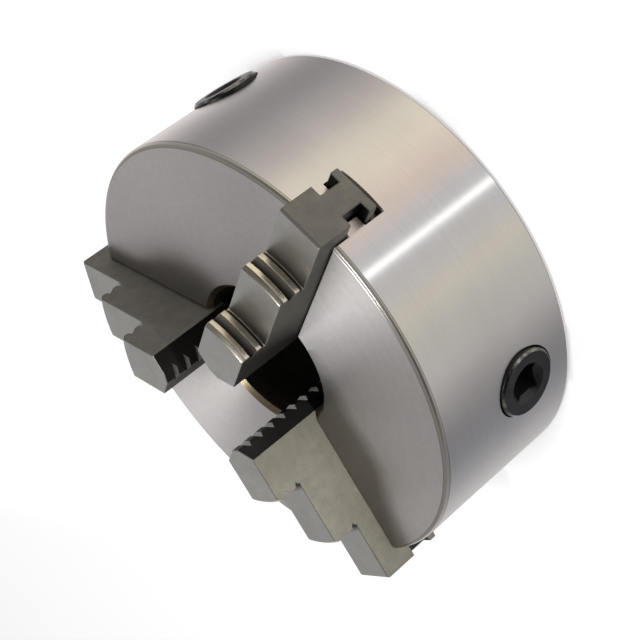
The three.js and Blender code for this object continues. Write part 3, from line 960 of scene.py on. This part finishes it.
def ground_cylinder():
    """Outside of the body: ground round and round, so the marks run along the circumference."""
    mat, nt, bsdf = new_material("ground_cylinder")
    g = Graph(nt)
    x, y, z = g.xyz(g.place())
    lines = g.noise(g.vec(g.math("MULTIPLY", x, 14), g.math("MULTIPLY", y, 14), g.math("MULTIPLY", z, 3800)), 1, 4, 0.62)
    broad = g.noise(g.vec(g.math("MULTIPLY", x, 6), g.math("MULTIPLY", y, 6), g.math("MULTIPLY", z, 260)), 1, 3, 0.5)
    stain = g.noise(g.vec(g.math("MULTIPLY", x, 26), g.math("MULTIPLY", y, 26), g.math("MULTIPLY", z, 34)), 1, 3, 0.55)
    base = g.ramp(lines, [(0.25, (0.655, 0.640, 0.622)), (0.5, (0.700, 0.686, 0.668)), (0.8, (0.745, 0.733, 0.717))])
    base = g.mix(g.remap(broad, 0.35, 0.7, 0.0, 0.12), base, (0.64, 0.615, 0.59))
    base = g.mix(g.remap(stain, 0.5, 0.8, 0.0, 0.16), base, (0.60, 0.575, 0.55))
    g.put(bsdf.inputs["Base Color"], base)
    g.put(bsdf.inputs["Roughness"], g.math("ADD", g.remap(lines, 0.2, 0.8, 0.215, 0.265), g.remap(stain, 0.3, 0.8, -0.01, 0.03)))
    g.put(bsdf.inputs["Normal"], g.bump(lines, 0.22, 0.00002))
    g.put(bsdf.inputs["Tangent"], g.tangent_z())
    set_metal(bsdf, 1.0, 0.25)
    return mat


# painted shade beside the slots: slot azimuth, side of the slot, how far the painted shade reaches near the bore and
# near the rim in mm, how dark it is
SLOT_SHADE = [(-90, -1, 9, 8, 0.22), (30, -1, 12, 9, 0.16), (150, 1, 29, 11, 0.62)]


def faced_flat():
    """Flat faces of the body: turned, so the marks are rings about the axis."""
    mat, nt, bsdf = new_material("faced_flat")
    g = Graph(nt)
    x, y, z = g.xyz(g.place())
    r = g.math("SQRT", g.math("ADD", g.math("MULTIPLY", x, x), g.math("MULTIPLY", y, y)))
    slow = lambda k: (g.math("MULTIPLY", x, k), g.math("MULTIPLY", y, k))
    a, b = slow(9)
    rings = g.noise(g.vec(g.math("MULTIPLY", r, 3200), a, b), 1, 4, 0.6)
    a, b = slow(5)
    broad = g.noise(g.vec(g.math("MULTIPLY", r, 210), a, b), 1, 3, 0.5)
    grain = g.noise(g.place(), 2600, 3, 0.65)
    cloud = g.noise(g.place(), 34, 4, 0.55)
    base = g.ramp(rings, [(0.25, (0.615, 0.584, 0.572)), (0.5, (0.660, 0.630, 0.618)), (0.8, (0.705, 0.678, 0.667))])
    base = g.mix(g.remap(broad, 0.35, 0.7, 0.0, 0.14), base, (0.585, 0.548, 0.545))
    base = g.mix(g.remap(grain, 0.35, 0.75, 0.0, 0.30), base, (0.525, 0.495, 0.490))
    base = g.mix(g.remap(cloud, 0.45, 0.8, 0.0, 0.22), base, (0.640, 0.615, 0.585))
    # painted shade: the face is darkened beside the slots, standing in for the shade and dark reflection that the jaws
    # throw on it
    wander = g.math("MULTIPLY", g.math("SUBTRACT", g.noise(g.place(), 60, 4, 0.6), 0.5), 9.0)
    for angle, side, wide, narrow, strength in SLOT_SHADE:
        cx, cy = math.cos(angle * RAD), math.sin(angle * RAD)
        along = g.math("MULTIPLY", g.math("ADD", g.math("MULTIPLY", x, cx), g.math("MULTIPLY", y, cy)), 1000.0)
        off = g.math("MULTIPLY", g.math("SUBTRACT", g.math("MULTIPLY", y, cx), g.math("MULTIPLY", x, cy)), 1000.0 * side)
        reach = g.math("ADD", JAW_HALF, g.remap(along, 58.0, 94.0, wide, narrow))
        slot_shade_mask = g.remap(g.math("ADD", g.math("SUBTRACT", off, reach), wander), -9.0, 3.0, strength, 0.0)
        slot_shade_mask = g.math("MULTIPLY", slot_shade_mask, g.math("MULTIPLY", g.math("GREATER_THAN", off, 0.0), g.math("GREATER_THAN", along, 0.0)))
        base = g.mix(slot_shade_mask, base, (0.085, 0.080, 0.076))
    blotch = g.noise(g.place(), 420, 4, 0.7)
    base = g.mix(g.remap(blotch, 0.38, 0.68, 0.0, 0.20), base, (0.560, 0.505, 0.515))
    base = g.mix(g.remap(blotch, 0.62, 0.40, 0.0, 0.14), base, (0.735, 0.715, 0.690))
    g.put(bsdf.inputs["Base Color"], base)
    g.put(bsdf.inputs["Roughness"], g.math("ADD", g.remap(rings, 0.2, 0.8, 0.40, 0.47), g.remap(grain, 0.3, 0.8, -0.02, 0.03)))
    height = g.math("ADD", g.math("MULTIPLY", rings, 0.7), g.math("MULTIPLY", grain, 0.5))
    g.put(bsdf.inputs["Normal"], g.bump(height, 0.25, 0.00003))
    g.put(bsdf.inputs["Tangent"], g.tangent_z())
    set_metal(bsdf, 0.85, 0.25)
    return mat


def machined_inside():
    """Bore, slots and holes: plain machined steel, its base colour darkened below the outside's as painted shade for
    these recesses.
    """
    mat, nt, bsdf = new_material("machined_inside")
    g = Graph(nt)
    x, y, z = g.xyz(g.place())
    marks = g.noise(g.vec(g.math("MULTIPLY", x, 60), g.math("MULTIPLY", y, 60), g.math("MULTIPLY", z, 2400)), 1, 3, 0.6)
    cloud = g.noise(g.place(), 60, 4, 0.6)
    # painted shade: a dark base colour so the bore, slots and holes read as shaded
    base = g.ramp(marks, [(0.3, (0.10, 0.092, 0.082)), (0.7, (0.19, 0.176, 0.160))])
    base = g.mix(g.remap(cloud, 0.4, 0.75, 0.0, 0.5), base, (0.075, 0.064, 0.053))
    g.put(bsdf.inputs["Base Color"], base)
    g.put(bsdf.inputs["Roughness"], g.remap(cloud, 0.3, 0.7, 0.36, 0.5))
    g.put(bsdf.inputs["Normal"], g.bump(marks, 0.25, 0.00003))
    set_metal(bsdf)
    return mat


def rounded_rim():
    """The rounded outer rim: a painted highlight along its middle, with painted dark lines where it meets the face and
    the cylinder.
    """
    mat, nt, bsdf = new_material("rounded_rim")
    g = Graph(nt)
    x, y, z = g.xyz(g.place())
    r = g.math("SQRT", g.math("ADD", g.math("MULTIPLY", x, x), g.math("MULTIPLY", y, y)))
    marks = g.noise(g.vec(g.math("MULTIPLY", g.math("SUBTRACT", r, z), 4200), g.math("MULTIPLY", x, 12), g.math("MULTIPLY", y, 12)), 1, 3, 0.6)
    across = g.remap(z, (BODY_H - FRONT_CHAMFER) * MM, BODY_H * MM, 0.0, 1.0)
    # painted highlight and painted shade: bright across the middle of the rim, dark towards both edges
    band = g.ramp(across, [(0.0, (0.36, 0.33, 0.28)), (0.16, (0.40, 0.37, 0.32)), (0.30, (0.70, 0.67, 0.61)), (0.62, (0.72, 0.69, 0.64)), (0.78, (0.40, 0.37, 0.33)), (1.0, (0.30, 0.275, 0.25))])
    base = g.mix(g.remap(marks, 0.3, 0.7, 0.0, 0.35), band, (0.42, 0.39, 0.35))
    g.put(bsdf.inputs["Base Color"], base)
    g.put(bsdf.inputs["Roughness"], g.remap(marks, 0.3, 0.7, 0.26, 0.34))
    g.put(bsdf.inputs["Tangent"], g.tangent_z())
    set_metal(bsdf, 0.6, 0.25)
    return mat


def bright_edge():
    """Chamfers of the bore and the holes: cut with a single point; their golden brown base colour is a painted
    reflection of warm light.
    """
    mat, nt, bsdf = new_material("bright_edge")
    g = Graph(nt)
    x, y, z = g.xyz(g.place())
    r = g.math("SQRT", g.math("ADD", g.math("MULTIPLY", x, x), g.math("MULTIPLY", y, y)))
    marks = g.noise(g.vec(g.math("MULTIPLY", g.math("ADD", r, z), 4200), g.math("MULTIPLY", x, 12), g.math("MULTIPLY", y, 12)), 1, 3, 0.6)
    # painted reflection: a golden brown base colour in place of the warm light that the chamfers mirror
    base = g.ramp(marks, [(0.3, (0.26, 0.20, 0.13)), (0.7, (0.44, 0.35, 0.24))])
    g.put(bsdf.inputs["Base Color"], base)
    g.put(bsdf.inputs["Roughness"], g.remap(marks, 0.3, 0.7, 0.27, 0.36))
    g.put(bsdf.inputs["Tangent"], g.tangent_z())
    set_metal(bsdf, 0.7, 0.25)
    return mat


STEP_RADIUS = 50.0  # radius of the outward steps' crowned faces, mm
STEP_CENTRES = (1.115, 31.015)  # how far out the centres of the two crowned faces lie, mm


def jaw_steel(name, colours, rough, marks_along, jaw_along=0.0, metallic=1.0, streaks=1.0, shade_kind="", inner=1.0, painted_shade_at_foot=0.86):
    """Hardened jaw steel. marks_along is the direction that its grinding marks follow, jaw_along the jaw's own direction."""
    mat, nt, bsdf = new_material(name)
    g = Graph(nt)
    p = g.place()
    x, y, z = g.xyz(p)
    cx, cy = math.cos(marks_along), math.sin(marks_along)
    u = g.math("ADD", g.math("MULTIPLY", x, cx), g.math("MULTIPLY", y, cy))
    v = g.math("SUBTRACT", g.math("MULTIPLY", y, cx), g.math("MULTIPLY", x, cy))
    marks = g.noise(g.vec(g.math("MULTIPLY", u, 130), g.math("MULTIPLY", v, 3300), g.math("MULTIPLY", z, 2400)), 1, 4, 0.6)
    cloud = g.noise(p, 75, 4, 0.6)
    grain = g.noise(p, 1900, 3, 0.6)
    low, mid, high = colours
    base = g.ramp(marks, [(0.25, low), (0.5, mid), (0.78, high)])
    if streaks < 1.0:
        base = g.mix(1.0 - streaks, base, g.ramp(g.noise(p, 210, 5, 0.7), [(0.3, low), (0.5, mid), (0.72, high)]))
    base = g.mix(g.remap(cloud, 0.4, 0.78, 0.0, 0.55), base, low)
    base = g.mix(g.remap(grain, 0.4, 0.8, 0.0, 0.25), base, low)
    jx, jy = math.cos(jaw_along), math.sin(jaw_along)
    out = g.math("MULTIPLY", g.math("ADD", g.math("MULTIPLY", x, jx), g.math("MULTIPLY", y, jy)), 1000.0)
    across = g.math("MULTIPLY", g.math("SUBTRACT", g.math("MULTIPLY", y, jx), g.math("MULTIPLY", x, jy)), 1000.0)
    if shade_kind:
        # distance from the centre line of the crowned face that stands on, or over, this place
        split = 0.0900 if shade_kind == "top" else 0.0966
        upper = g.math("GREATER_THAN", z, split)
        centre = g.math("ADD", STEP_CENTRES[1], g.math("MULTIPLY", upper, STEP_CENTRES[0] - STEP_CENTRES[1]))
        du = g.math("SUBTRACT", out, centre)
        rho = g.math("SQRT", g.math("ADD", g.math("MULTIPLY", du, du), g.math("MULTIPLY", across, across)))
        if shade_kind == "top":
            # painted shade: the tops are darkened in the corner at the foot of each step and along their long side
            # edges. The lower steps' tops are also a little darker than the top step's
            painted_shade = g.math("MULTIPLY", g.remap(rho, 49.9, 52.4, painted_shade_at_foot, 0.0), g.math("LESS_THAN", z, 0.100))
            edge = g.math("ABSOLUTE", across)
            painted_shade = g.math("MAXIMUM", painted_shade, g.remap(edge, JAW_HALF - 0.85, JAW_HALF - 0.30, 0.0, 0.72 * painted_shade_at_foot))
            base = g.mix(g.math("MULTIPLY", g.math("LESS_THAN", z, 0.100), 0.16), base, low)
        else:
            # painted shade: darkened in the grooves of the gripping faces
            painted_shade = g.remap(rho, STEP_RADIUS - 1.7, STEP_RADIUS - 0.55, 0.90, 0.0)
        base = g.mix(painted_shade, base, (0.020, 0.017, 0.014))
    # painted shade: the sides darken towards the jaw's inner end, nearly black on jaw 1
    if inner < 1.0:
        base = g.mix(g.remap(g.math("ADD", out, g.math("MULTIPLY", z, -350.0)), 8.0, 28.0, 1.0 - inner, 0.0), base, (0.008, 0.008, 0.010))
    g.put(bsdf.inputs["Base Color"], base)
    g.put(bsdf.inputs["Roughness"], g.math("ADD", g.remap(marks, 0.2, 0.8, rough - 0.03 * streaks, rough + 0.04 * streaks), g.remap(cloud, 0.3, 0.8, -0.03, 0.05)))
    g.put(bsdf.inputs["Normal"], g.bump(g.math("ADD", g.math("MULTIPLY", marks, streaks), g.math("MULTIPLY", grain, 0.6)), 0.3, 0.00003))
    set_metal(bsdf, metallic=metallic)
    return mat


def black_oxide():
    mat, nt, bsdf = new_material("black_oxide")
    g = Graph(nt)
    p = g.place()
    cloud = g.noise(p, 160, 4, 0.6)
    grain = g.noise(p, 2400, 3, 0.6)
    base = g.ramp(cloud, [(0.3, (0.020, 0.020, 0.022)), (0.6, (0.034, 0.034, 0.037)), (0.85, (0.066, 0.063, 0.062))])
    base = g.mix(g.remap(grain, 0.45, 0.8, 0.0, 0.28), base, (0.10, 0.096, 0.092))
    g.put(bsdf.inputs["Base Color"], base)
    g.put(bsdf.inputs["Roughness"], g.math("ADD", g.remap(cloud, 0.3, 0.8, 0.30, 0.44), g.remap(grain, 0.3, 0.8, -0.03, 0.05)))
    g.put(bsdf.inputs["Normal"], g.bump(grain, 0.3, 0.00003))
    set_metal(bsdf, metallic=0.75)
    return mat


def worn_edge():
    """Edge of a pinion's head, rubbed bright by the key."""
    mat, nt, bsdf = new_material("worn_edge")
    g = Graph(nt)
    p = g.place()
    wear = g.noise(p, 260, 4, 0.6)
    base = g.ramp(wear, [(0.36, (0.06, 0.059, 0.056)), (0.52, (0.20, 0.197, 0.185)), (0.72, (0.50, 0.49, 0.46))])
    g.put(bsdf.inputs["Base Color"], base)
    g.put(bsdf.inputs["Roughness"], g.remap(wear, 0.3, 0.8, 0.20, 0.30))
    set_metal(bsdf)
    return mat


def paint_by(obj, materials, choose):
    """Gives every face the material that choose(centre, normal) names, by its place in materials."""
    obj.data.materials.clear()
    for m in materials:
        obj.data.materials.append(m)
    for p in obj.data.polygons:
        p.material_index = choose(p.center, p.normal)


# ---------------------------------------------------------------- build
cylinder_mat = ground_cylinder()
flat_mat = faced_flat()
inside_mat = machined_inside()
edge_mat = bright_edge()
rim_mat = rounded_rim()
oxide_mat = black_oxide()
worn_mat = worn_edge()


def put(obj, body, nodes, materials, choose=None, angle=33, profile=None):
    shade(obj, angle, profile)
    if choose is None:
        choose = lambda c, n: 0
    paint_by(obj, materials, choose)
    obj.data.transform(Matrix.Scale(MM, 4))
    obj.data.update()
    obj.location = (0, 0, 0)
    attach(obj, body)
    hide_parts(*nodes)
    return obj


def body_zone(c, n):
    r = math.hypot(c[0], c[1])
    out = (n[0] * c[0] + n[1] * c[1]) / max(r, 1e-6)
    near_face = c[2] > BODY_H - FRONT_CHAMFER - 0.3
    if n[2] > 0.9 and c[2] > BODY_H - 0.05:
        return 1
    if n[2] < -0.9 and c[2] < REGISTER_DEPTH + 0.2:
        return 1
    if out > 0.95 and r > 98.7 and c[2] < BODY_H - FRONT_CHAMFER + 0.05:
        return 0
    if r > BODY_R - FRONT_CHAMFER - 0.2 and out > 0.1 and n[2] > 0.02 and near_face:
        return 4
    if r > BODY_R - 2.8 and out > 0.1 and c[2] < 1.8:
        return 2
    if near_face and out < -0.1 and r < BORE_R + BORE_CHAMFER + 0.5:
        return 3
    if near_face and 0.3 < n[2] < 0.9:
        return 3
    if r > 97.5 and out > 0.3:
        return 1 if c[2] > 40 else 3
    return 2


shell = body_piece()
shell.name = "body_shell"
put(shell, "chuck", ["chuck_body"], [cylinder_mat, flat_mat, inside_mat, edge_mat, rim_mat], body_zone, 33, BODY_PROFILE)

# painted shade: near-black jaw steel for the faces that look into the bore and for the guide grooves; painted
# highlight: a lighter copy for the up-facing crests among the inward faces
dark_mat = jaw_steel("jaw_unpolished", ((0.022, 0.020, 0.020), (0.030, 0.028, 0.028), (0.045, 0.042, 0.040)), 0.42, 0.0, metallic=0.7, streaks=0.4)
crest_mat = jaw_steel("jaw_crests", ((0.22, 0.212, 0.20), (0.36, 0.348, 0.332), (0.48, 0.468, 0.45)), 0.34, 0.0, streaks=0.4)

for i, angle in enumerate(JAW_ANGLES):
    a = angle * RAD
    # per jaw: how strong the painted shade is at the foot of the steps, and for jaw 1 the painted shade at the inner
    # end of its sides
    top_mat = jaw_steel("jaw_top_%d" % (i + 1), ((0.40, 0.382, 0.358), (0.52, 0.50, 0.472), (0.61, 0.592, 0.565)), 0.36, a + math.pi / 2, a, shade_kind="top", streaks=0.7, painted_shade_at_foot=(0.12, 0.75, 0.97)[i])
    side_mat = jaw_steel("jaw_side_%d" % (i + 1), ((0.160, 0.154, 0.135), (0.198, 0.191, 0.168), (0.236, 0.229, 0.203)), 0.50, a, a, metallic=0.60, streaks=0.2, inner=0.12 if i == 0 else 1.0)
    grip_mat = jaw_steel("jaw_grip_%d" % (i + 1), ((0.56, 0.51, 0.42), (0.76, 0.70, 0.59), (0.90, 0.845, 0.73)), 0.27, a + math.pi / 2, a, shade_kind="grip")
    jaw = jaw_piece(i)
    jaw.name = "stepped_jaw_%d" % (i + 1)

    def jaw_zone(c, n):
        # inward faces and guide grooves take the painted-shade steel, the up-facing crests among them the painted
        # highlight
        if n[0] < -0.25 or (c[0] < TIP_R + 1.5 and n[2] < 0.8):
            return 4 if n[2] > 0.25 else 3
        if c[2] < BODY_H and GROOVE_BOTTOM - 0.1 < c[2] - BODY_H < GROOVE_TOP + 0.1 and n[0] < 0.3 and (abs(c[1]) < JAW_NECK + 0.6 or abs(n[2]) > 0.5):
            return 3
        if n[2] > 0.8:
            return 0
        if c[2] > BODY_H + STEP_Z[2] and n[0] > 0.3:
            return 2
        return 1

    shade(jaw, 35)
    paint_by(jaw, [top_mat, side_mat, grip_mat, dark_mat, crest_mat], jaw_zone)
    jaw.data.transform(Matrix.Rotation(a, 4, "Z"))
    jaw.data.transform(Matrix.Scale(MM, 4))
    jaw.data.update()
    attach(jaw, "jaw_%d" % (i + 1))
    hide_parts("jaw_%d" % (i + 1))

for i, angle in enumerate(PINION_ANGLES):
    pinion = pinion_piece("key_pinion_%d" % (i + 1))
    spin(pinion, angle)
    ax, ay = math.cos(angle * RAD), math.sin(angle * RAD)

    def pinion_zone(c, n):
        lean = n[0] * ax + n[1] * ay
        return 1 if 0.35 < lean < 0.94 and c[0] * ax + c[1] * ay > PINION_OUT - 0.95 and math.hypot(c[1] * ax - c[0] * ay, c[2] - AXIS_Z) > JOURNAL_R - 1.2 else 0

    put(pinion, "pinion_%d" % (i + 1), ["pinion_%d" % (i + 1)], [oxide_mat, worn_mat], pinion_zone)
    screw = pinion_screw_piece("locating_screw_%d" % (i + 1))
    spin(shift(screw, LOCATE_R, 0, 0), angle)
    put(screw, "chuck", ["pinion_screw_%d" % (i + 1)], [oxide_mat])

for i, angle in enumerate(COVER_SCREW_ANGLES):
    screw = cover_screw_piece("countersunk_screw_%d" % (i + 1))
    spin(shift(screw, COVER_SCREW_PCR, 0, 0), angle)
    put(screw, "chuck", ["cover_screw_%d" % (i + 1)], [oxide_mat])

cover, cover_outline = cover_piece()
cover.name = "closing_cover"
put(cover, "chuck", ["rear_cover"], [flat_mat, inside_mat],
    lambda c, n: 0 if n[2] < -0.9 else 1, 33, cover_outline)

scroll = scroll_piece()
scroll.name = "scroll_thread"
put(scroll, "scroll", ["scroll_plate"], [inside_mat], None, 33)


# ---------------------------------------------------------------- floor, light, camera
def floor_piece():
    bm = bmesh.new()
    n = 24
    size = 6.0
    grid = [[bm.verts.new(((i / n - 0.5) * size, (j / n - 0.5) * size, -0.0002)) for j in range(n + 1)] for i in range(n + 1)]
    for i in range(n):
        for j in range(n):
            bm.faces.new((grid[i][j], grid[i + 1][j], grid[i + 1][j + 1], grid[i][j + 1]))
    mesh = bpy.data.meshes.new("floor")
    bm.to_mesh(mesh)
    bm.free()
    obj = bpy.data.objects.new("floor", mesh)
    bpy.context.scene.collection.objects.link(obj)
    mat, nt, bsdf = new_material("floor_white")
    bsdf.inputs["Base Color"].default_value = (0.82, 0.82, 0.82, 1)
    bsdf.inputs["Roughness"].default_value = 0.9
    bsdf.inputs["Specular IOR Level"].default_value = 0.1
    bsdf.inputs["Emission Color"].default_value = (1, 1, 1, 1)
    bsdf.inputs["Emission Strength"].default_value = 0.55
    mesh.materials.append(mat)
    obj.visible_glossy = False
    return obj


floor_piece()


def card_piece():
    """A black card under the chuck keeps the white floor out of the bore's reflections."""
    bm = bmesh.new()
    ring = [bm.verts.new((0.079 * math.cos(2 * math.pi * i / 96), 0.079 * math.sin(2 * math.pi * i / 96), -0.0001)) for i in range(96)]
    bm.faces.new(ring)
    mesh = bpy.data.meshes.new("card")
    bm.to_mesh(mesh)
    bm.free()
    obj = bpy.data.objects.new("card", mesh)
    bpy.context.scene.collection.objects.link(obj)
    mat, nt, bsdf = new_material("card_black")
    bsdf.inputs["Base Color"].default_value = (0.01, 0.01, 0.01, 1)
    bsdf.inputs["Roughness"].default_value = 0.9
    bsdf.inputs["Specular IOR Level"].default_value = 0.1
    mesh.materials.append(mat)
    obj.visible_camera = False
    return obj


card_piece()


def srgb(v):
    v = v / 255
    return v / 12.92 if v <= 0.04045 else ((v + 0.055) / 1.055) ** 2.4


# Soft studio surroundings: a pale band low down, whose brightness drifts with direction, and a dimmer dome above.
LOW_BAND = [
    (-180, (161, 157, 157)), (-163, (192, 189, 187)), (-147, (194, 193, 187)),
    (-131, (211, 205, 194)), (-115, (194, 192, 192)), (-99, (196, 196, 199)),
    (-83, (222, 206, 196)), (-67, (239, 227, 211)), (-51, (234, 227, 211)),
    (-35, (199, 191, 187)), (-19, (173, 169, 168)), (-3, (143, 141, 142)),
    (13, (142, 138, 141)), (29, (188, 181, 182)), (45, (230, 224, 223)),
    (101, (197, 195, 194)), (117, (187, 185, 186)), (133, (153, 153, 157)),
    (149, (128, 128, 135)), (165, (129, 128, 131)), (180, (161, 157, 157)),
]
HIGH_BAND = [
    (-180, 0.12), (-150, 0.05), (-105, 0.035), (-70, 0.06), (-40, 0.13), (-10, 0.26), (30, 0.52),
    (75, 0.52), (120, 0.44), (155, 0.26), (180, 0.12),
]
STRIP = (-105.0, 1.9, 2.3)  # azimuth, half width, radiance of an upright strip light low down


def surroundings():
    world = bpy.data.worlds.new("studio")
    bpy.context.scene.world = world
    world.use_nodes = True
    nt = world.node_tree
    nt.nodes.clear()
    g = Graph(nt)
    out = nt.nodes.new("ShaderNodeOutputWorld")
    bg = nt.nodes.new("ShaderNodeBackground")
    tc = nt.nodes.new("ShaderNodeTexCoord")
    x, y, z = g.xyz(tc.outputs["Generated"])
    az = g.math("ARCTAN2", y, x)
    fac = g.remap(az, -math.pi, math.pi, 0.0, 1.0)
    low = g.scale(g.ramp(fac, [((p + 180) / 360, tuple(srgb(v) for v in c)) for p, c in LOW_BAND]), 1 / 0.76)
    high = g.ramp(fac, [((p + 180) / 360, v) for p, v in HIGH_BAND])
    top = g.mix(g.remap(z, 0.80, 0.97, 0.0, 1.0), high, (0.55, 0.55, 0.55))
    both = g.mix(g.remap(z, 0.0, 0.16, 0.0, 1.0), low, top)
    off = g.math("ABSOLUTE", g.math("SUBTRACT", az, STRIP[0] * RAD))
    near = g.remap(off, STRIP[1] * RAD, STRIP[1] * RAD * 0.6, 0.0, 1.0)
    strip = g.math("MULTIPLY", near, g.remap(z, -0.10, 0.05, 1.0, 0.0))
    both = g.mix(strip, both, (STRIP[2], STRIP[2], STRIP[2]))
    lp = nt.nodes.new("ShaderNodeLightPath")
    final = g.mix(lp.outputs["Is Camera Ray"], both, (1.0, 1.0, 1.0))
    g.put(bg.inputs["Color"], final)
    bg.inputs["Strength"].default_value = 1.0
    nt.links.new(bg.outputs[0], out.inputs["Surface"])


surroundings()


def lamp(name, azimuth, elevation, distance, size_x, size_y, power, colour=(1, 1, 1), aim=(0, 0, 0.05)):
    data = bpy.data.lights.new(name, "AREA")
    data.shape = "RECTANGLE"
    data.size, data.size_y = size_x, size_y
    data.energy = power
    data.color = colour
    obj = bpy.data.objects.new(name, data)
    bpy.context.scene.collection.objects.link(obj)
    a, e = azimuth * RAD, elevation * RAD
    back = Vector((math.cos(a) * math.cos(e), math.sin(a) * math.cos(e), math.sin(e)))
    obj.location = Vector(aim) + back * distance
    obj.rotation_mode = "QUATERNION"
    obj.rotation_quaternion = (-back).to_track_quat("-Z", "Y")
    obj.visible_camera = False
    return obj


lamp("key", -105, 78, 1.4, 0.30, 0.05, 7.2, (1, 1, 1))


def beam(name, azimuth, elevation, distance, cone, power, colour, aim):
    """A narrow soft beam that lights matt surfaces and isn't mirrored by polished ones."""
    data = bpy.data.lights.new(name, "SPOT")
    data.spot_size = cone * RAD
    data.spot_blend = 0.35
    data.shadow_soft_size = 0.05
    data.energy = power
    data.color = colour
    obj = bpy.data.objects.new(name, data)
    bpy.context.scene.collection.objects.link(obj)
    a, e = azimuth * RAD, elevation * RAD
    back = Vector((math.cos(a) * math.cos(e), math.sin(a) * math.cos(e), math.sin(e)))
    obj.location = Vector(aim) + back * distance
    obj.rotation_mode = "QUATERNION"
    obj.rotation_quaternion = (-back).to_track_quat("-Z", "Y")
    obj.visible_camera = False
    obj.visible_glossy = False
    return obj


beam("side_fill", -122, 12, 1.5, 5.2, 245, (1.0, 0.97, 0.88), (-0.052, 0.030, 0.092))

cam_data = bpy.data.cameras.new("camera")
cam_data.lens = 93.0793
cam_data.sensor_width = 36
cam_data.sensor_fit = "AUTO"
cam_data.clip_start, cam_data.clip_end = 0.05, 50
camera = bpy.data.objects.new("camera", cam_data)
bpy.context.scene.collection.objects.link(camera)
camera.location = (-0.16078, -0.593519, 0.37895)
camera.rotation_mode = "QUATERNION"
camera.rotation_quaternion = (-0.27456, -0.282159, -0.4255789, 0.8147918)
bpy.context.scene.camera = camera
bpy.context.scene.view_settings.view_transform = "Standard"
bpy.context.scene.view_settings.look = "None"

bpy.context.view_layer.update()
